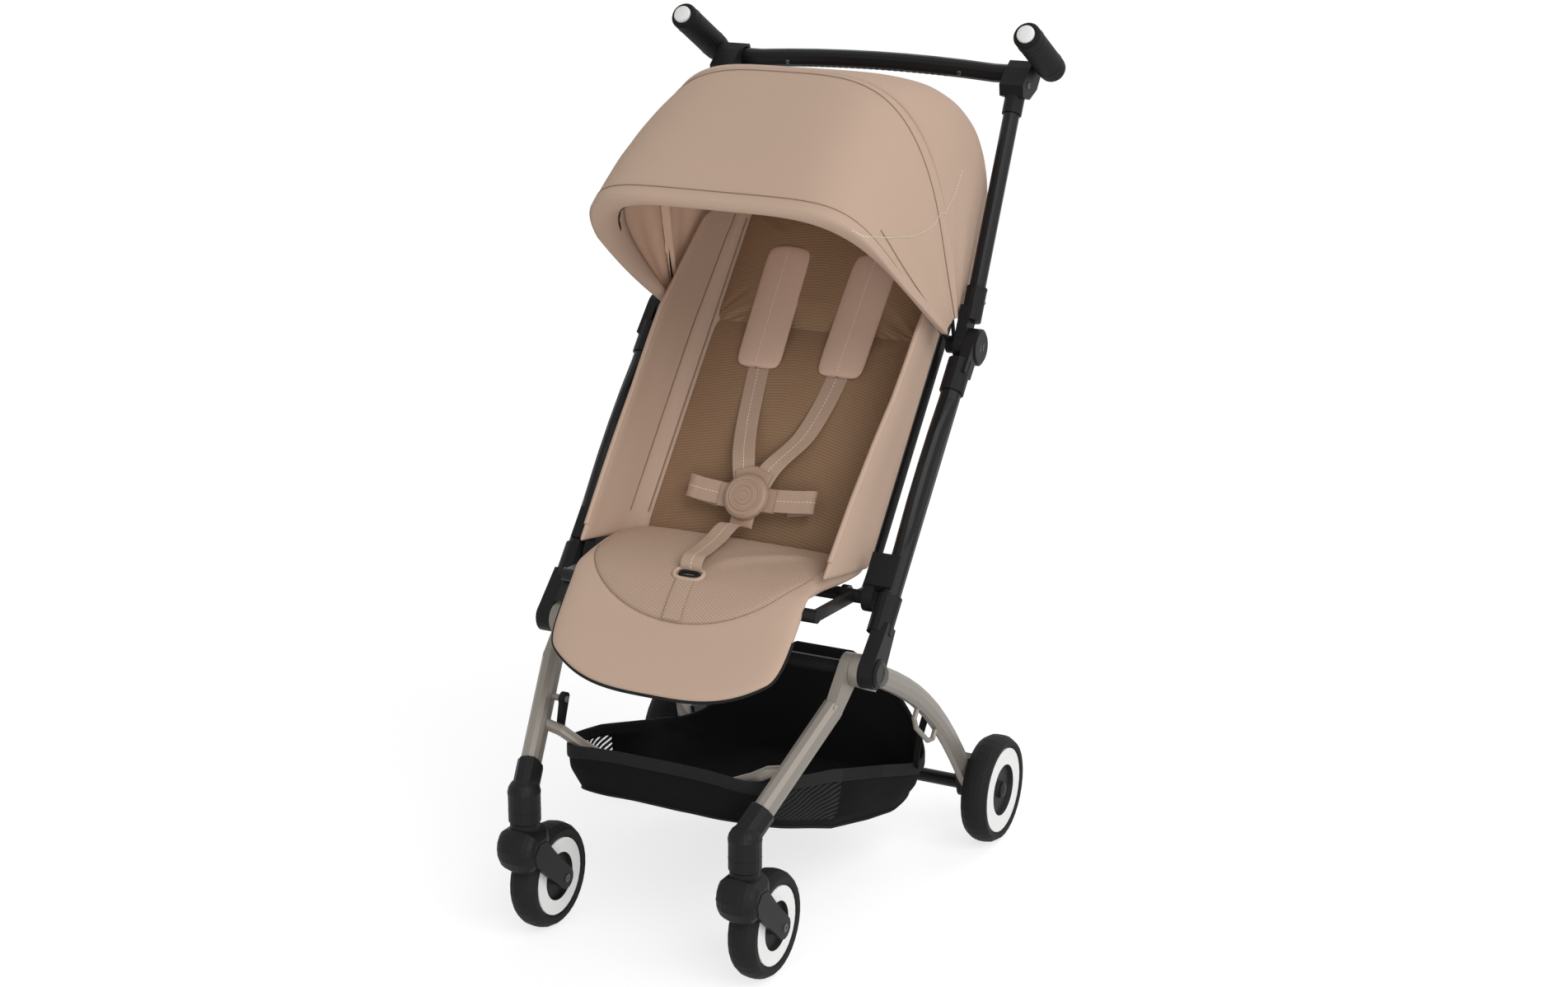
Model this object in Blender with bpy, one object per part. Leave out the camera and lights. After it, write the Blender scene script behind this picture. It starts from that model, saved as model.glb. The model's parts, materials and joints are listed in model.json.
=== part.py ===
"""Travel stroller: folding tube frame, casters, rear wheels, seat, canopy, harness and basket.

Metres, +Z up. The stroller stands on z = 0 and faces -Y; +X is the sitter's left side seen from the front.
Each sub-part is one closed solid. A side is 1 for +X and -1 for -X.
"""

import math

import bmesh
import bpy
from mathutils import Matrix, Vector

# Frame in side view, as (y, z) points and angles above +Y
HUB = (-0.1396, 0.3349)
PUSH_ANGLE = 50.8
PUSH_LENGTH = 0.4243
UPPER_ANGLE = 60.2
UPPER_LENGTH = 0.3315
FRONT_ANGLE = 220.4
FRONT_LENGTH = 0.2304
REAR_WHEEL = (0.1992, 0.0687)
FRONT_WHEEL_TRAIL = 0.0472

# Half widths of the frame, from the middle plane to each tube's axis
PUSH_X = 0.2087
UPPER_TOP_X = 0.1990
FRONT_TOP_X = 0.1861
FRONT_FOOT_X = 0.1438
REAR_LEG_X = 0.2095
REAR_FOOT_X = 0.1990
REAR_WHEEL_X = 0.2295

# Tube sections
PUSH_RADIUS = 0.0125
PUSH_DEEPENING = ((0.150, 0.0), (0.175, 0.0030), (0.210, 0.0065), (0.255, 0.0075), (0.300, 0.0055), (0.345, 0.0))
UPPER_RADIUS = 0.0100
LEG_HALF_WIDTH = 0.0110
LEG_HALF_HEIGHT = 0.0145
REAR_HALF_WIDTH = 0.0090
REAR_HALF_HEIGHT = 0.0130
REAR_LEG_BOW = 0.0300
BAR_RADIUS = 0.0090

# Lower hinge: three knuckles side by side on one pin
KNUCKLE_RADIUS = 0.0190
HUB_PIN_RADIUS = 0.0050
HUB_LAYERS = {"front": (0.1800, 0.1922), "rear": (0.1926, 0.2038), "push": (0.2042, 0.2222)}
FRONT_KNUCKLE_REACH = 0.0600
REAR_KNUCKLE_REACH = 0.0500
PUSH_KNUCKLE_REACH = 0.0580
FRONT_TUBE_START = 0.0520
REAR_TUBE_START = 0.0430
PUSH_SLEEVE_START = 0.0470
PUSH_SLEEVE_LENGTH = 0.0450
HUB_CAP_RADIUS = 0.0165
HUB_CAP_THICKNESS = 0.0025

# Upper hinge: two halves side by side, the pin set back from the tubes so that they fold parallel
HINGE_SETBACK = 0.0120
HINGE_RADIUS = 0.0222
HINGE_CAP_RADIUS = 0.0202
HINGE_CAP_THICKNESS = 0.0022
HINGE_PIN_RADIUS = 0.0060
HINGE_LAYERS = {"upper": (0.1960, 0.2092), "lower": (0.2095, 0.2225)}
HINGE_REACH = 0.0440
HINGE_ARM_CLEAR = 0.0005
HINGE_SLEEVE_START = 0.0260
HINGE_SLEEVE_LENGTH = 0.0420
SLEEVE_WALL = 0.0022

# Handle
CROSSBAR_OFFSET = (0.0192, 0.0070)
CROSSBAR_RADIUS = 0.0115
CROSSBAR_HALF = 0.1900
CROSSBAR_ARCH = 0.0060
CROSSBAR_STRAIGHT_END = 0.0300
CROSSBAR_CLEARANCE = 0.0018
BRACKET_SPAN = (0.1834, 0.2142)
BRACKET_SOCKET = 0.0240
BRACKET_ROUND_BAR = (
    (0.0060, -0.0180), (0.0165, -0.0040), (0.0155, 0.0050), (0.0100, 0.0155), (-0.0080, 0.0180), (-0.0190, 0.0110),
)
GRIP_X = 0.2315
GRIP_RADIUS = 0.0170
GRIP_LENGTH = 0.1180
GRIP_TILT = 151.0
GRIP_OFFSET = (-0.0093, 0.0366)
GRIP_BUTTON_RADIUS = 0.0110
GRIP_BUTTON_LENGTH = 0.0090
GRIP_BUTTON_TRAVEL = 0.0040

# Wheels and casters
FRONT_WHEEL = {"radius": 0.0630, "width": 0.0350, "ring": 0.0488, "hole": 0.0290}
BACK_WHEEL = {"radius": 0.0687, "width": 0.0340, "ring": 0.0565, "hole": 0.0330}
WHEEL_SEGMENTS = 32
TYRE_SEAT_DEPTH = 0.0020
AXLE_RADIUS = 0.0045
BARREL_RADIUS = 0.0190
BARREL_LOW = 0.1490
BARREL_DOME_Z = 0.1845
LEG_SLEEVE_LENGTH = 0.0370
LEG_SLEEVE_WALL = 0.0030
CAP_LIP = 0.0006
STEM_RADIUS = 0.0065
STEM_LENGTH = 0.0300
FORK_GAP = 0.0030
FORK_ARM = 0.0060
FORK_ARM_HALF = 0.0135
FORK_NECK = 0.0050
FORK_SHOULDER = (
    (0.0180, 0.0), (0.0235, 0.0070), (0.0235, 0.0175), (0.0090, 0.0265), (-0.0040, 0.0385), (-0.0130, 0.0520),
    (-0.0190, 0.0535), (-0.0265, 0.0480), (-0.0315, 0.0375), (-0.0330, 0.0255), (-0.0310, 0.0140),
    (-0.0250, 0.0050), (-0.0185, 0.0),
)
REAR_FOOT_SPAN = (0.1870, 0.2105)

# Seat, on a tube between the push tubes
SEAT_PIVOT = (-0.0820, 0.4020)
SEAT_DEPTH = 0.1000
SEAT_ANGLE = 177.0
SEAT_BAR_RADIUS = 0.0080
SEAT_FRAME_HALF = 0.1665
SEAT_ARM_WIDTH = 0.0080
SEAT_HALF_WIDTH = 0.1480
SEAT_CUSHION_THICKNESS = 0.0240
SEAT_REAR_OVERHANG = 0.0360
CLAMP_INNER_X = 0.1790
CLAMP_NOSE_X = 0.1925
CLAMP_DISTANCE = 0.1190
SEAT_TUBE_HALF = 0.1855
CROTCH_SLOT_Y = -0.1420
LEG_REST_ANGLE = 226.0
LEG_REST_LENGTH = 0.1320
LEG_REST_HALF_WIDTH = 0.1480
LEG_REST_THICKNESS = 0.0160
LEG_REST_HEM = 0.0120

# Back: its pad's front face starts at BACK_START and rises at BACK_ANGLE. Tables are (distance up, value)
BACK_START = (-0.0390, 0.4200)
BACK_ANGLE = 51.0
BACK_LENGTH = 0.4550
BACK_BAR_X = 0.1535
BACK_BAR_RADIUS = 0.0060
BACK_EYE_RADIUS = 0.0115
BACK_EYE_WIDTH = 0.0080
BACK_PAD_THICKNESS = 0.0240
BACK_PAD_START = 0.0120
BACK_PAD_END = 0.4700
WING_DEPTH = ((0.0, 0.094), (0.07, 0.092), (0.18, 0.085), (0.27, 0.082), (0.41, 0.052), (0.48, 0.010))
WING_X = ((0.0, 0.1590), (0.07, 0.1620), (0.18, 0.1690), (0.27, 0.1710), (0.41, 0.1700), (0.48, 0.1620))
WING_HALF_THICKNESS = 0.0030
WING_SLANT = 0.72
WING_SLANT_END = 0.1200

# Harness; distances up the back pad and out from its front face
PAD_SPAN = (0.2320, 0.4000)
PAD_X = (0.0550, 0.0600)
PAD_HALF_WIDTH = 0.0240
PAD_HALF_THICKNESS = 0.0065
STRAP_LIFT = 0.0095
PAD_LIFT = 0.0180
STRAP_HALF_WIDTH = 0.0120
STRAP_HALF_THICKNESS = 0.0008
BUCKLE_CENTRE = (-0.0380, 0.4870)
BUCKLE_TILT = 148.0
BUCKLE_RADIUS = 0.0290
BUCKLE_HALF_THICKNESS = 0.0055
BUCKLE_BUTTON_RADIUS = 0.0170
BUCKLE_BUTTON_TRAVEL = 0.0030
STRAP_PLATE_RADIUS = 0.0200
STRAP_PLATE_THICKNESS = 0.0030

# Canopy, as hoops that fan about the upper hinge
CANOPY_REAR_ANGLE = 44.0
CANOPY_MAIN_ANGLE = 103.0
CANOPY_FRONT_ANGLE = 143.0
CANOPY_REACH = 0.3330
CANOPY_FRONT_REACH = 0.3280
CANOPY_REAR_REACH = 0.2500
CANOPY_HALF_WIDTH = 0.1955
CANOPY_CLOTH = 0.0025
CANOPY_SAG = 0.0060
CANOPY_CORNER = 0.55
BOW_WIDTH = 0.0080
BOW_THICKNESS = 0.0030
MAIN_BOW_X = 0.1890
FRONT_BOW_X = 0.1835
BOW_INSET = 0.0110

# Fold hook on the right front leg
HOOK_DISTANCE = 0.1050
HOOK_STAND_OFF = 0.0130
HOOK_THICKNESS = 0.0060
HOOK_PIN_RADIUS = 0.0040

# Basket
BASKET_FRONT_Y = -0.2700
BASKET_REAR_Y = 0.1530
BASKET_HALF_WIDTH = 0.1600
BASKET_FLOOR_Z = 0.0950
BASKET_FLOOR_RISE = 0.0700
BASKET_WALL = 0.0030
BASKET_RIM = ((-0.270, 0.215), (-0.130, 0.212), (-0.030, 0.258), (0.050, 0.242), (0.120, 0.188), (0.153, 0.168))
BASKET_FRONT_DIP = 0.0200

# The gap that touching pieces keep, and the play of a pin in its bore
GAP = 0.0003
PLAY = 0.0003

X_AXIS = Vector((1, 0, 0))
Y_AXIS = Vector((0, 1, 0))
Z_AXIS = Vector((0, 0, 1))


def side_name(side):
    """The word for a side in an object's name."""
    return "left" if side > 0 else "right"


def turn(angle):
    """The (y, z) unit vector at an angle in degrees above +Y."""
    return math.cos(math.radians(angle)), math.sin(math.radians(angle))


def along(start, angle, distance, aside=0.0):
    """The (y, z) point a distance from start at an angle, moved aside to the left of that direction."""
    c, s = turn(angle)
    return start[0] + distance * c - aside * s, start[1] + distance * s + aside * c


def clear_scene():
    """Remove every object, so that the script gives the same model in any file."""
    for obj in list(bpy.data.objects):
        bpy.data.objects.remove(obj, do_unlink=True)


MATERIALS = {}


def material(name, colour, roughness, metallic=0.0):
    """A Principled material, made once for each name."""
    if name not in MATERIALS:
        made = bpy.data.materials.new(name)
        made.use_nodes = True
        shader = made.node_tree.nodes["Principled BSDF"]
        shader.inputs["Base Color"].default_value = (*colour, 1.0)
        shader.inputs["Roughness"].default_value = roughness
        shader.inputs["Metallic"].default_value = metallic
        MATERIALS[name] = made
    return MATERIALS[name]


def black_plastic():
    return material("black_plastic", (0.018, 0.018, 0.019), 0.55)


def black_paint():
    return material("black_paint", (0.012, 0.012, 0.013), 0.35, 0.3)


def champagne_paint():
    return material("champagne_paint", (0.36, 0.30, 0.24), 0.35, 0.7)


def tan_fabric():
    return material("tan_fabric", (0.43, 0.34, 0.25), 0.85)


def dark_fabric():
    return material("dark_fabric", (0.055, 0.050, 0.045), 0.9)


def rubber():
    return material("rubber", (0.014, 0.014, 0.014), 0.8)


def pale_plastic():
    return material("pale_plastic", (0.70, 0.69, 0.66), 0.5)


def mesh_object(name, verts, faces, finish, smooth=True):
    """A mesh object with outward normals; smooth where faces meet at less than 40 degrees."""
    mesh = bpy.data.meshes.new(name)
    mesh.from_pydata([tuple(v) for v in verts], [], faces)
    edit = bmesh.new()
    edit.from_mesh(mesh)
    bmesh.ops.recalc_face_normals(edit, faces=edit.faces)
    edit.to_mesh(mesh)
    edit.free()
    if smooth:
        mesh.shade_smooth()
        mesh.set_sharp_from_angle(angle=math.radians(40))
    obj = bpy.data.objects.new(name, mesh)
    bpy.context.scene.collection.objects.link(obj)
    if finish:
        mesh.materials.append(finish)
    return obj


def loft(name, rings, finish=None, closed=False):
    """Skin a list of rings of points, each ring closed; capped at both ends, or joined end to end."""
    count = len(rings[0])
    verts = [p for ring in rings for p in ring]
    faces = []
    steps = len(rings) if closed else len(rings) - 1
    for i in range(steps):
        a, b = i * count, ((i + 1) % len(rings)) * count
        for j in range(count):
            k = (j + 1) % count
            faces.append((a + j, a + k, b + k, b + j))
    if not closed:
        faces.append(tuple(range(count)))
        faces.append(tuple((len(rings) - 1) * count + j for j in range(count)))
    return mesh_object(name, verts, faces, finish)


def circle(radius, sides):
    """Points of a circle as (a, b) pairs, with a flat facing down."""
    half = math.pi / sides
    return [
        (radius * math.cos(half + 2 * math.pi * i / sides), radius * math.sin(half + 2 * math.pi * i / sides))
        for i in range(sides)
    ]


def superellipse(half_a, half_b, sides, power):
    """Points of a rounded rectangle: both coordinates are a power of cosine and sine."""
    points = []
    for i in range(sides):
        t = 2 * math.pi * (i + 0.5) / sides
        c, s = math.cos(t), math.sin(t)
        a = half_a * math.copysign(abs(c) ** power, c)
        b = half_b * math.copysign(abs(s) ** power, s)
        points.append((a, b))
    return points


def sweep(name, path, profile, finish=None, across=X_AXIS, closed=False):
    """Carry a profile along a path. Profile a runs along across, square to the path; b is square to both.

    profile is one list of (a, b) pairs, or one such list for each path point.
    """
    path = [Vector(p) for p in path]
    last = len(path) - 1
    rings = []
    for i, point in enumerate(path):
        if closed:
            tangent = (path[(i + 1) % len(path)] - path[i - 1]).normalized()
        else:
            tangent = (path[min(i + 1, last)] - path[max(i - 1, 0)]).normalized()
        side = (across - tangent * across.dot(tangent)).normalized()
        up = tangent.cross(side)
        shape = profile[i] if isinstance(profile[0], list) else profile
        rings.append([point + side * a + up * b for a, b in shape])
    return loft(name, rings, finish, closed)


def revolve(name, outline, centre, axis, segments, finish=None, ring=False):
    """Turn an outline of (radius, height) pairs about an axis; a ring's outline is closed."""
    axis = Vector(axis).normalized()
    first = (Z_AXIS if abs(axis.dot(Z_AXIS)) < 0.9 else Y_AXIS)
    first = (first - axis * first.dot(axis)).normalized()
    second = axis.cross(first)
    centre = Vector(centre)
    verts, rows = [], []
    for radius, height in outline:
        if radius < 1e-7:
            rows.append([len(verts)] * segments)
            verts.append(centre + axis * height)
            continue
        rows.append(list(range(len(verts), len(verts) + segments)))
        for i in range(segments):
            t = 2 * math.pi * (i + 0.5) / segments
            verts.append(centre + axis * height + (first * math.cos(t) + second * math.sin(t)) * radius)
    faces = []
    pairs = list(zip(rows, rows[1:] + rows[:1])) if ring else list(zip(rows, rows[1:]))
    for a, b in pairs:
        for i in range(segments):
            k = (i + 1) % segments
            face = [a[i], a[k], b[k], b[i]]
            face = [v for n, v in enumerate(face) if v != face[n - 1]]
            if len(face) > 2:
                faces.append(tuple(face))
    if not ring:
        for row, (radius, _) in ((rows[0], outline[0]), (rows[-1], outline[-1])):
            if radius >= 1e-7:
                faces.append(tuple(row))
    return mesh_object(name, verts, faces, finish)


def rod(name, start, end, radius, sides=16, finish=None):
    """A straight round bar between two points."""
    start, end = Vector(start), Vector(end)
    return revolve(name, [(radius, 0.0), (radius, (end - start).length)], start, end - start, sides, finish)


def plate(name, outline, low, high, finish=None):
    """A flat plate: an outline of (y, z) points, extruded along X."""
    rings = [[Vector((x, y, z)) for y, z in outline] for x in (low, high)]
    return loft(name, rings, finish)


def link_outline(centre, angle, reach, radius, end_half, turns=14):
    """The side view of a knuckle: a round head at centre, and a straight arm to reach at an angle."""
    points = [
        along(centre, angle + 90 + 180 * i / turns, radius)
        for i in range(turns + 1)
    ]
    points.append(along(centre, angle, reach, -end_half))
    points.append(along(centre, angle, reach, end_half))
    return points


def hinge_outline(centre, angle, front):
    """The side view of an upper hinge half: a round head, and an arm on the tube's side of the pin alone.

    front is 1 where the tube lies to the left of the arm's direction, and -1 where it lies to the right. The
    arm keeps clear of the pin's own line, so that the other half's tube can fold parallel behind it.
    """
    turns = 18
    points = [along(centre, angle + front * (90 + 270 * i / turns), HINGE_RADIUS) for i in range(turns + 1)]
    points.append(along(centre, angle, HINGE_REACH, front * HINGE_ARM_CLEAR))
    points.append(along(centre, angle, HINGE_REACH, front * (HINGE_SETBACK + PUSH_RADIUS)))
    return points


def span(side, low, high):
    """The two x values of a layer on one side, smaller first."""
    return (low, high) if side > 0 else (-high, -low)


def combine(base, other, operation):
    """Join, or cut, base with another object, which stays hidden as the modifier's operand."""
    modifier = base.modifiers.new(operation.lower(), "BOOLEAN")
    modifier.operation = operation
    modifier.object = other
    modifier.solver = "EXACT"
    other.hide_render = True
    other.display_type = "WIRE"


def soften(obj, width, segments=2):
    """Round the edges of an object that meet at more than 40 degrees."""
    modifier = obj.modifiers.new("edges", "BEVEL")
    modifier.width = width
    modifier.segments = segments
    modifier.limit_method = "ANGLE"
    modifier.angle_limit = math.radians(40)


def leg_profile(half_width, half_height, side):
    """The leg's section: flat inside, rounded top and bottom, and a ridge along the outer face."""
    outer = half_width * side
    return [
        (outer, 0.0),
        (0.80 * outer, 0.62 * half_height),
        (0.38 * outer, 0.96 * half_height),
        (-0.30 * outer, half_height),
        (-0.80 * outer, 0.80 * half_height),
        (-outer, 0.35 * half_height),
        (-outer, -0.35 * half_height),
        (-0.80 * outer, -0.80 * half_height),
        (-0.30 * outer, -half_height),
        (0.38 * outer, -0.96 * half_height),
        (0.80 * outer, -0.62 * half_height),
    ]


def hinge_point():
    """Where the axes of the lower and upper tubes cross, in side view."""
    return along(HUB, PUSH_ANGLE, PUSH_LENGTH)


def hinge_pivot():
    """The upper hinge's pin, set back behind the lower tube's axis."""
    return along(hinge_point(), PUSH_ANGLE - 90, HINGE_SETBACK)


def upper_end():
    """The upper tube's end in side view, which carries the bracket, crossbar and grips."""
    return along(hinge_point(), UPPER_ANGLE, UPPER_LENGTH)


def crossbar_centre():
    """The crossbar's axis in side view."""
    y, z = upper_end()
    return (y + CROSSBAR_OFFSET[0], z + CROSSBAR_OFFSET[1])


def grip_centre():
    """The middle of the grips in side view."""
    y, z = upper_end()
    return (y + GRIP_OFFSET[0], z + GRIP_OFFSET[1])


def caster_foot(side):
    """The middle of the caster's barrel, on its swivel axis."""
    y, z = along(HUB, FRONT_ANGLE, FRONT_LENGTH)
    return Vector((side * FRONT_FOOT_X, y, z))


def front_leg_point(side, distance):
    """A point on the front leg's axis, a distance from the hub."""
    y, z = along(HUB, FRONT_ANGLE, distance)
    share = max(0.0, (distance - FRONT_TUBE_START) / (FRONT_LENGTH - FRONT_TUBE_START))
    return Vector((side * (FRONT_TOP_X + (FRONT_FOOT_X - FRONT_TOP_X) * share), y, z))


def rear_leg_path(side, start, steps=10):
    """The rear leg's axis from the hub to the wheel: a shallow bow above the straight line."""
    dy, dz = REAR_WHEEL[0] - HUB[0], REAR_WHEEL[1] - HUB[1]
    length = math.hypot(dy, dz)
    angle = math.degrees(math.atan2(dz, dy))
    points = []
    for i in range(steps + 1):
        distance = start + (length - start) * i / steps
        share = distance / length
        rise = REAR_LEG_BOW * math.sin(math.pi * share)
        y, z = along(HUB, angle, distance, rise)
        x = REAR_LEG_X + (REAR_FOOT_X - REAR_LEG_X) * share
        points.append(Vector((side * x, y, z)))
    return points


def push_point(side, distance, aside=0.0):
    """A point on the lower push tube's axis, a distance from the hub."""
    y, z = along(HUB, PUSH_ANGLE, distance, aside)
    return Vector((side * PUSH_X, y, z))


def upper_point(side, distance):
    """A point on the upper tube's axis, a distance from where it meets the lower tube's."""
    y, z = along(hinge_point(), UPPER_ANGLE, distance)
    x = PUSH_X + (UPPER_TOP_X - PUSH_X) * distance / UPPER_LENGTH
    return Vector((side * x, y, z))


def knuckle(name, outline, centre, layer, side, bore, finish):
    """One layer of a hinge: a plate of an outline, with a bore at its centre."""
    head = plate(name, outline, *span(side, *layer), finish)
    middle = 0.5 * (layer[0] + layer[1]) * side
    cut_half = layer[1] - layer[0]
    start = (middle - cut_half, *centre)
    end = (middle + cut_half, *centre)
    combine(head, rod(name + "_bore", start, end, bore + PLAY, 16), "DIFFERENCE")
    return head


def front_legs():
    """Ridged legs from the lower hinge down to the caster barrels."""
    for side in (1, -1):
        name = "front_leg_" + side_name(side)
        outline = link_outline(HUB, FRONT_ANGLE, FRONT_KNUCKLE_REACH, KNUCKLE_RADIUS, 0.8 * LEG_HALF_HEIGHT)
        leg = knuckle(name, outline, HUB, HUB_LAYERS["front"], side, HUB_PIN_RADIUS, champagne_paint())
        path = [front_leg_point(side, FRONT_TUBE_START), front_leg_point(side, FRONT_LENGTH)]
        tube = sweep(name + "_tube", path, leg_profile(LEG_HALF_WIDTH, LEG_HALF_HEIGHT, side))
        combine(leg, tube, "UNION")
        foot = caster_foot(side)
        seat_radius = BARREL_RADIUS + CAP_LIP + GAP
        seat = rod(name + "_seat", foot - Z_AXIS * 0.06, foot + Z_AXIS * 0.06, seat_radius, 24)
        combine(leg, seat, "DIFFERENCE")


def hub_hardware():
    """The pin of each lower hinge with its round cap, and the cross tube that joins the hubs."""
    inner = HUB_LAYERS["front"][0]
    outer = HUB_LAYERS["push"][1] + GAP
    for side in (1, -1):
        outline = [
            (HUB_PIN_RADIUS, 0.0),
            (HUB_PIN_RADIUS, outer - inner),
            (HUB_CAP_RADIUS, outer - inner),
            (HUB_CAP_RADIUS, outer - inner + 0.6 * HUB_CAP_THICKNESS),
            (HUB_CAP_RADIUS - 0.0020, outer - inner + HUB_CAP_THICKNESS),
        ]
        start = (side * inner, *HUB)
        revolve("hub_pin_" + side_name(side), outline, start, (side, 0, 0), 24, black_plastic())
    end = inner - GAP
    cross = rod("hub_cross_tube", (-end, *HUB), (end, *HUB), BAR_RADIUS, 14, champagne_paint())
    return cross


def latch_block():
    """The fold latch under the seat: a block that wraps the hub cross tube."""
    y, z = HUB
    half = 0.024
    outline = [
        (y - 0.017, z - 0.016), (y + 0.017, z - 0.016), (y + 0.021, z - 0.006),
        (y + 0.015, z + 0.022), (y - 0.009, z + 0.026), (y - 0.021, z + 0.004),
    ]
    block = plate("fold_latch_block", outline, -half, half, black_plastic())
    bore = rod("fold_latch_bore", (-2 * half, y, z), (2 * half, y, z), BAR_RADIUS + GAP, 14)
    combine(block, bore, "DIFFERENCE")
    soften(block, 0.002)


def front_brace():
    """The bent cross tube between the front legs, below the seat and inside the basket."""
    ends = front_leg_point(1, 0.139)
    drop = 0.052
    inset = 0.052
    half = ends.x
    path = []
    for x in (-half, -half + 0.030, -half + inset, -0.050, 0.050, half - inset, half - 0.030, half):
        share = min(1.0, (half - abs(x)) / (half - 0.050))
        dip = 0.5 - 0.5 * math.cos(math.pi * share)
        path.append(Vector((x, ends.y + 0.016 * dip, ends.z - drop * dip)))
    brace = sweep("front_cross_brace", path, circle(0.0070, 12), champagne_paint(), Y_AXIS)
    for side in (1, -1):
        seat = [front_leg_point(side, FRONT_TUBE_START), front_leg_point(side, FRONT_LENGTH)]
        profile = leg_profile(LEG_HALF_WIDTH + GAP, LEG_HALF_HEIGHT + GAP, side)
        combine(brace, sweep("brace_seat_" + side_name(side), seat, profile), "DIFFERENCE")


def casters():
    """Swivel barrels with a dome and a sleeve for the leg, forks with stem and axle, and the front wheels."""
    for side in (1, -1):
        word = side_name(side)
        foot = caster_foot(side)
        x, y = foot.x, foot.y
        low = BARREL_LOW
        dome = BARREL_DOME_Z - low
        outline = [(BARREL_RADIUS - 0.0015, 0.0), (BARREL_RADIUS, 0.0015), (BARREL_RADIUS, dome - 0.004)]
        for degrees in (5, 22, 40, 58, 76):
            t = math.radians(degrees)
            outline.append(((BARREL_RADIUS + CAP_LIP) * math.cos(t), dome + BARREL_RADIUS * math.sin(t)))
        barrel = revolve("caster_barrel_" + word, outline, (x, y, low), Z_AXIS, 24, black_plastic())
        combine(barrel, leg_sleeve(side), "UNION")
        stem_bore = rod(
            "caster_bore_" + word, (x, y, low - 0.01), (x, y, low + STEM_LENGTH + GAP), STEM_RADIUS + PLAY, 14
        )
        combine(barrel, stem_bore, "DIFFERENCE")
        fork(side, x, y, low - GAP)
        wheel("front_wheel_" + word, (x, y + FRONT_WHEEL_TRAIL, FRONT_WHEEL["radius"]), FRONT_WHEEL, side)


def leg_sleeve(side):
    """The hollow sleeve in which the front leg ends, slanted like the leg."""
    word = side_name(side)
    foot, top = front_leg_point(side, FRONT_LENGTH), front_leg_point(side, FRONT_LENGTH - LEG_SLEEVE_LENGTH)
    shapes = [
        leg_profile(LEG_HALF_WIDTH + grow, LEG_HALF_HEIGHT + grow, side)
        for grow in (LEG_SLEEVE_WALL, LEG_SLEEVE_WALL - 0.0008)
    ]
    near = top + (foot - top) * 0.04
    outer = sweep("leg_sleeve_" + word, [foot, near, top], [shapes[0], shapes[0], shapes[1]], black_plastic())
    beyond = top + (top - foot) * 0.2
    bore = leg_profile(LEG_HALF_WIDTH + GAP, LEG_HALF_HEIGHT + GAP, side)
    combine(outer, sweep("leg_bore_" + word, [foot + (foot - top) * 0.1, beyond], bore), "DIFFERENCE")
    return outer


def fork_arm_outline(y, top):
    """The side view of a fork arm: a broad strap from the shoulder to a round end at the axle."""
    axle = (y + FRONT_WHEEL_TRAIL, FRONT_WHEEL["radius"])
    start = (y - 0.0060, top - 0.0300)
    angle = math.degrees(math.atan2(axle[1] - start[1], axle[0] - start[0]))
    length = math.hypot(axle[1] - start[1], axle[0] - start[0])
    points = [along(start, angle, -0.012, -0.6 * FORK_ARM_HALF), along(start, angle, 0.0, -1.15 * FORK_ARM_HALF)]
    points += [along(axle, angle - 90 + 22.5 * i, FORK_ARM_HALF) for i in range(9)]
    points += [along(start, angle, 0.55 * length, FORK_ARM_HALF), along(start, angle, 0.0, 1.25 * FORK_ARM_HALF)]
    points += [along(start, angle, -0.012, 0.6 * FORK_ARM_HALF)]
    return points


def fork_shoulder(name, x, y, top, half):
    """The rounded mass under the barrel that bulges forward; its sections across X shrink toward both sides."""
    middle = (-0.0080, 0.0250)
    rings = []
    for i in range(11):
        t = math.radians(-78 + 156 * i / 10)
        across, size = math.sin(t) / math.sin(math.radians(78)), math.cos(t) ** 0.45
        rings.append([
            Vector((x + half * across, y + middle[0] + (b - middle[0]) * size,
                    top - middle[1] - (c - middle[1]) * size))
            for b, c in FORK_SHOULDER
        ])
    return loft(name, rings)


def fork(side, x, y, top):
    """A double-sided fork with its neck ring, stem and wheel axle in one piece."""
    word = side_name(side)
    inner = 0.5 * FRONT_WHEEL["width"] + FORK_GAP
    outer = inner + FORK_ARM
    crown_top = top - FORK_NECK
    outline = [
        (0.0175, -0.004), (0.0175, FORK_NECK), (STEM_RADIUS, FORK_NECK), (STEM_RADIUS, FORK_NECK + STEM_LENGTH - 0.002),
    ]
    body = revolve("caster_fork_" + word, outline, (x, y, crown_top), Z_AXIS, 20, black_plastic())
    combine(body, fork_shoulder("fork_shoulder_" + word, x, y, crown_top, outer - 0.0010), "UNION")
    for arm_side in (1, -1):
        low, high = sorted((x + arm_side * inner, x + arm_side * outer))
        arm = plate("fork_arm_" + word, fork_arm_outline(y, crown_top), low, high)
        combine(body, arm, "UNION")
    hub = (y + FRONT_WHEEL_TRAIL, FRONT_WHEEL["radius"])
    combine(body, rod("fork_axle_" + word, (x - inner - 0.002, *hub), (x + inner + 0.002, *hub), AXLE_RADIUS, 14), "UNION")


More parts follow.
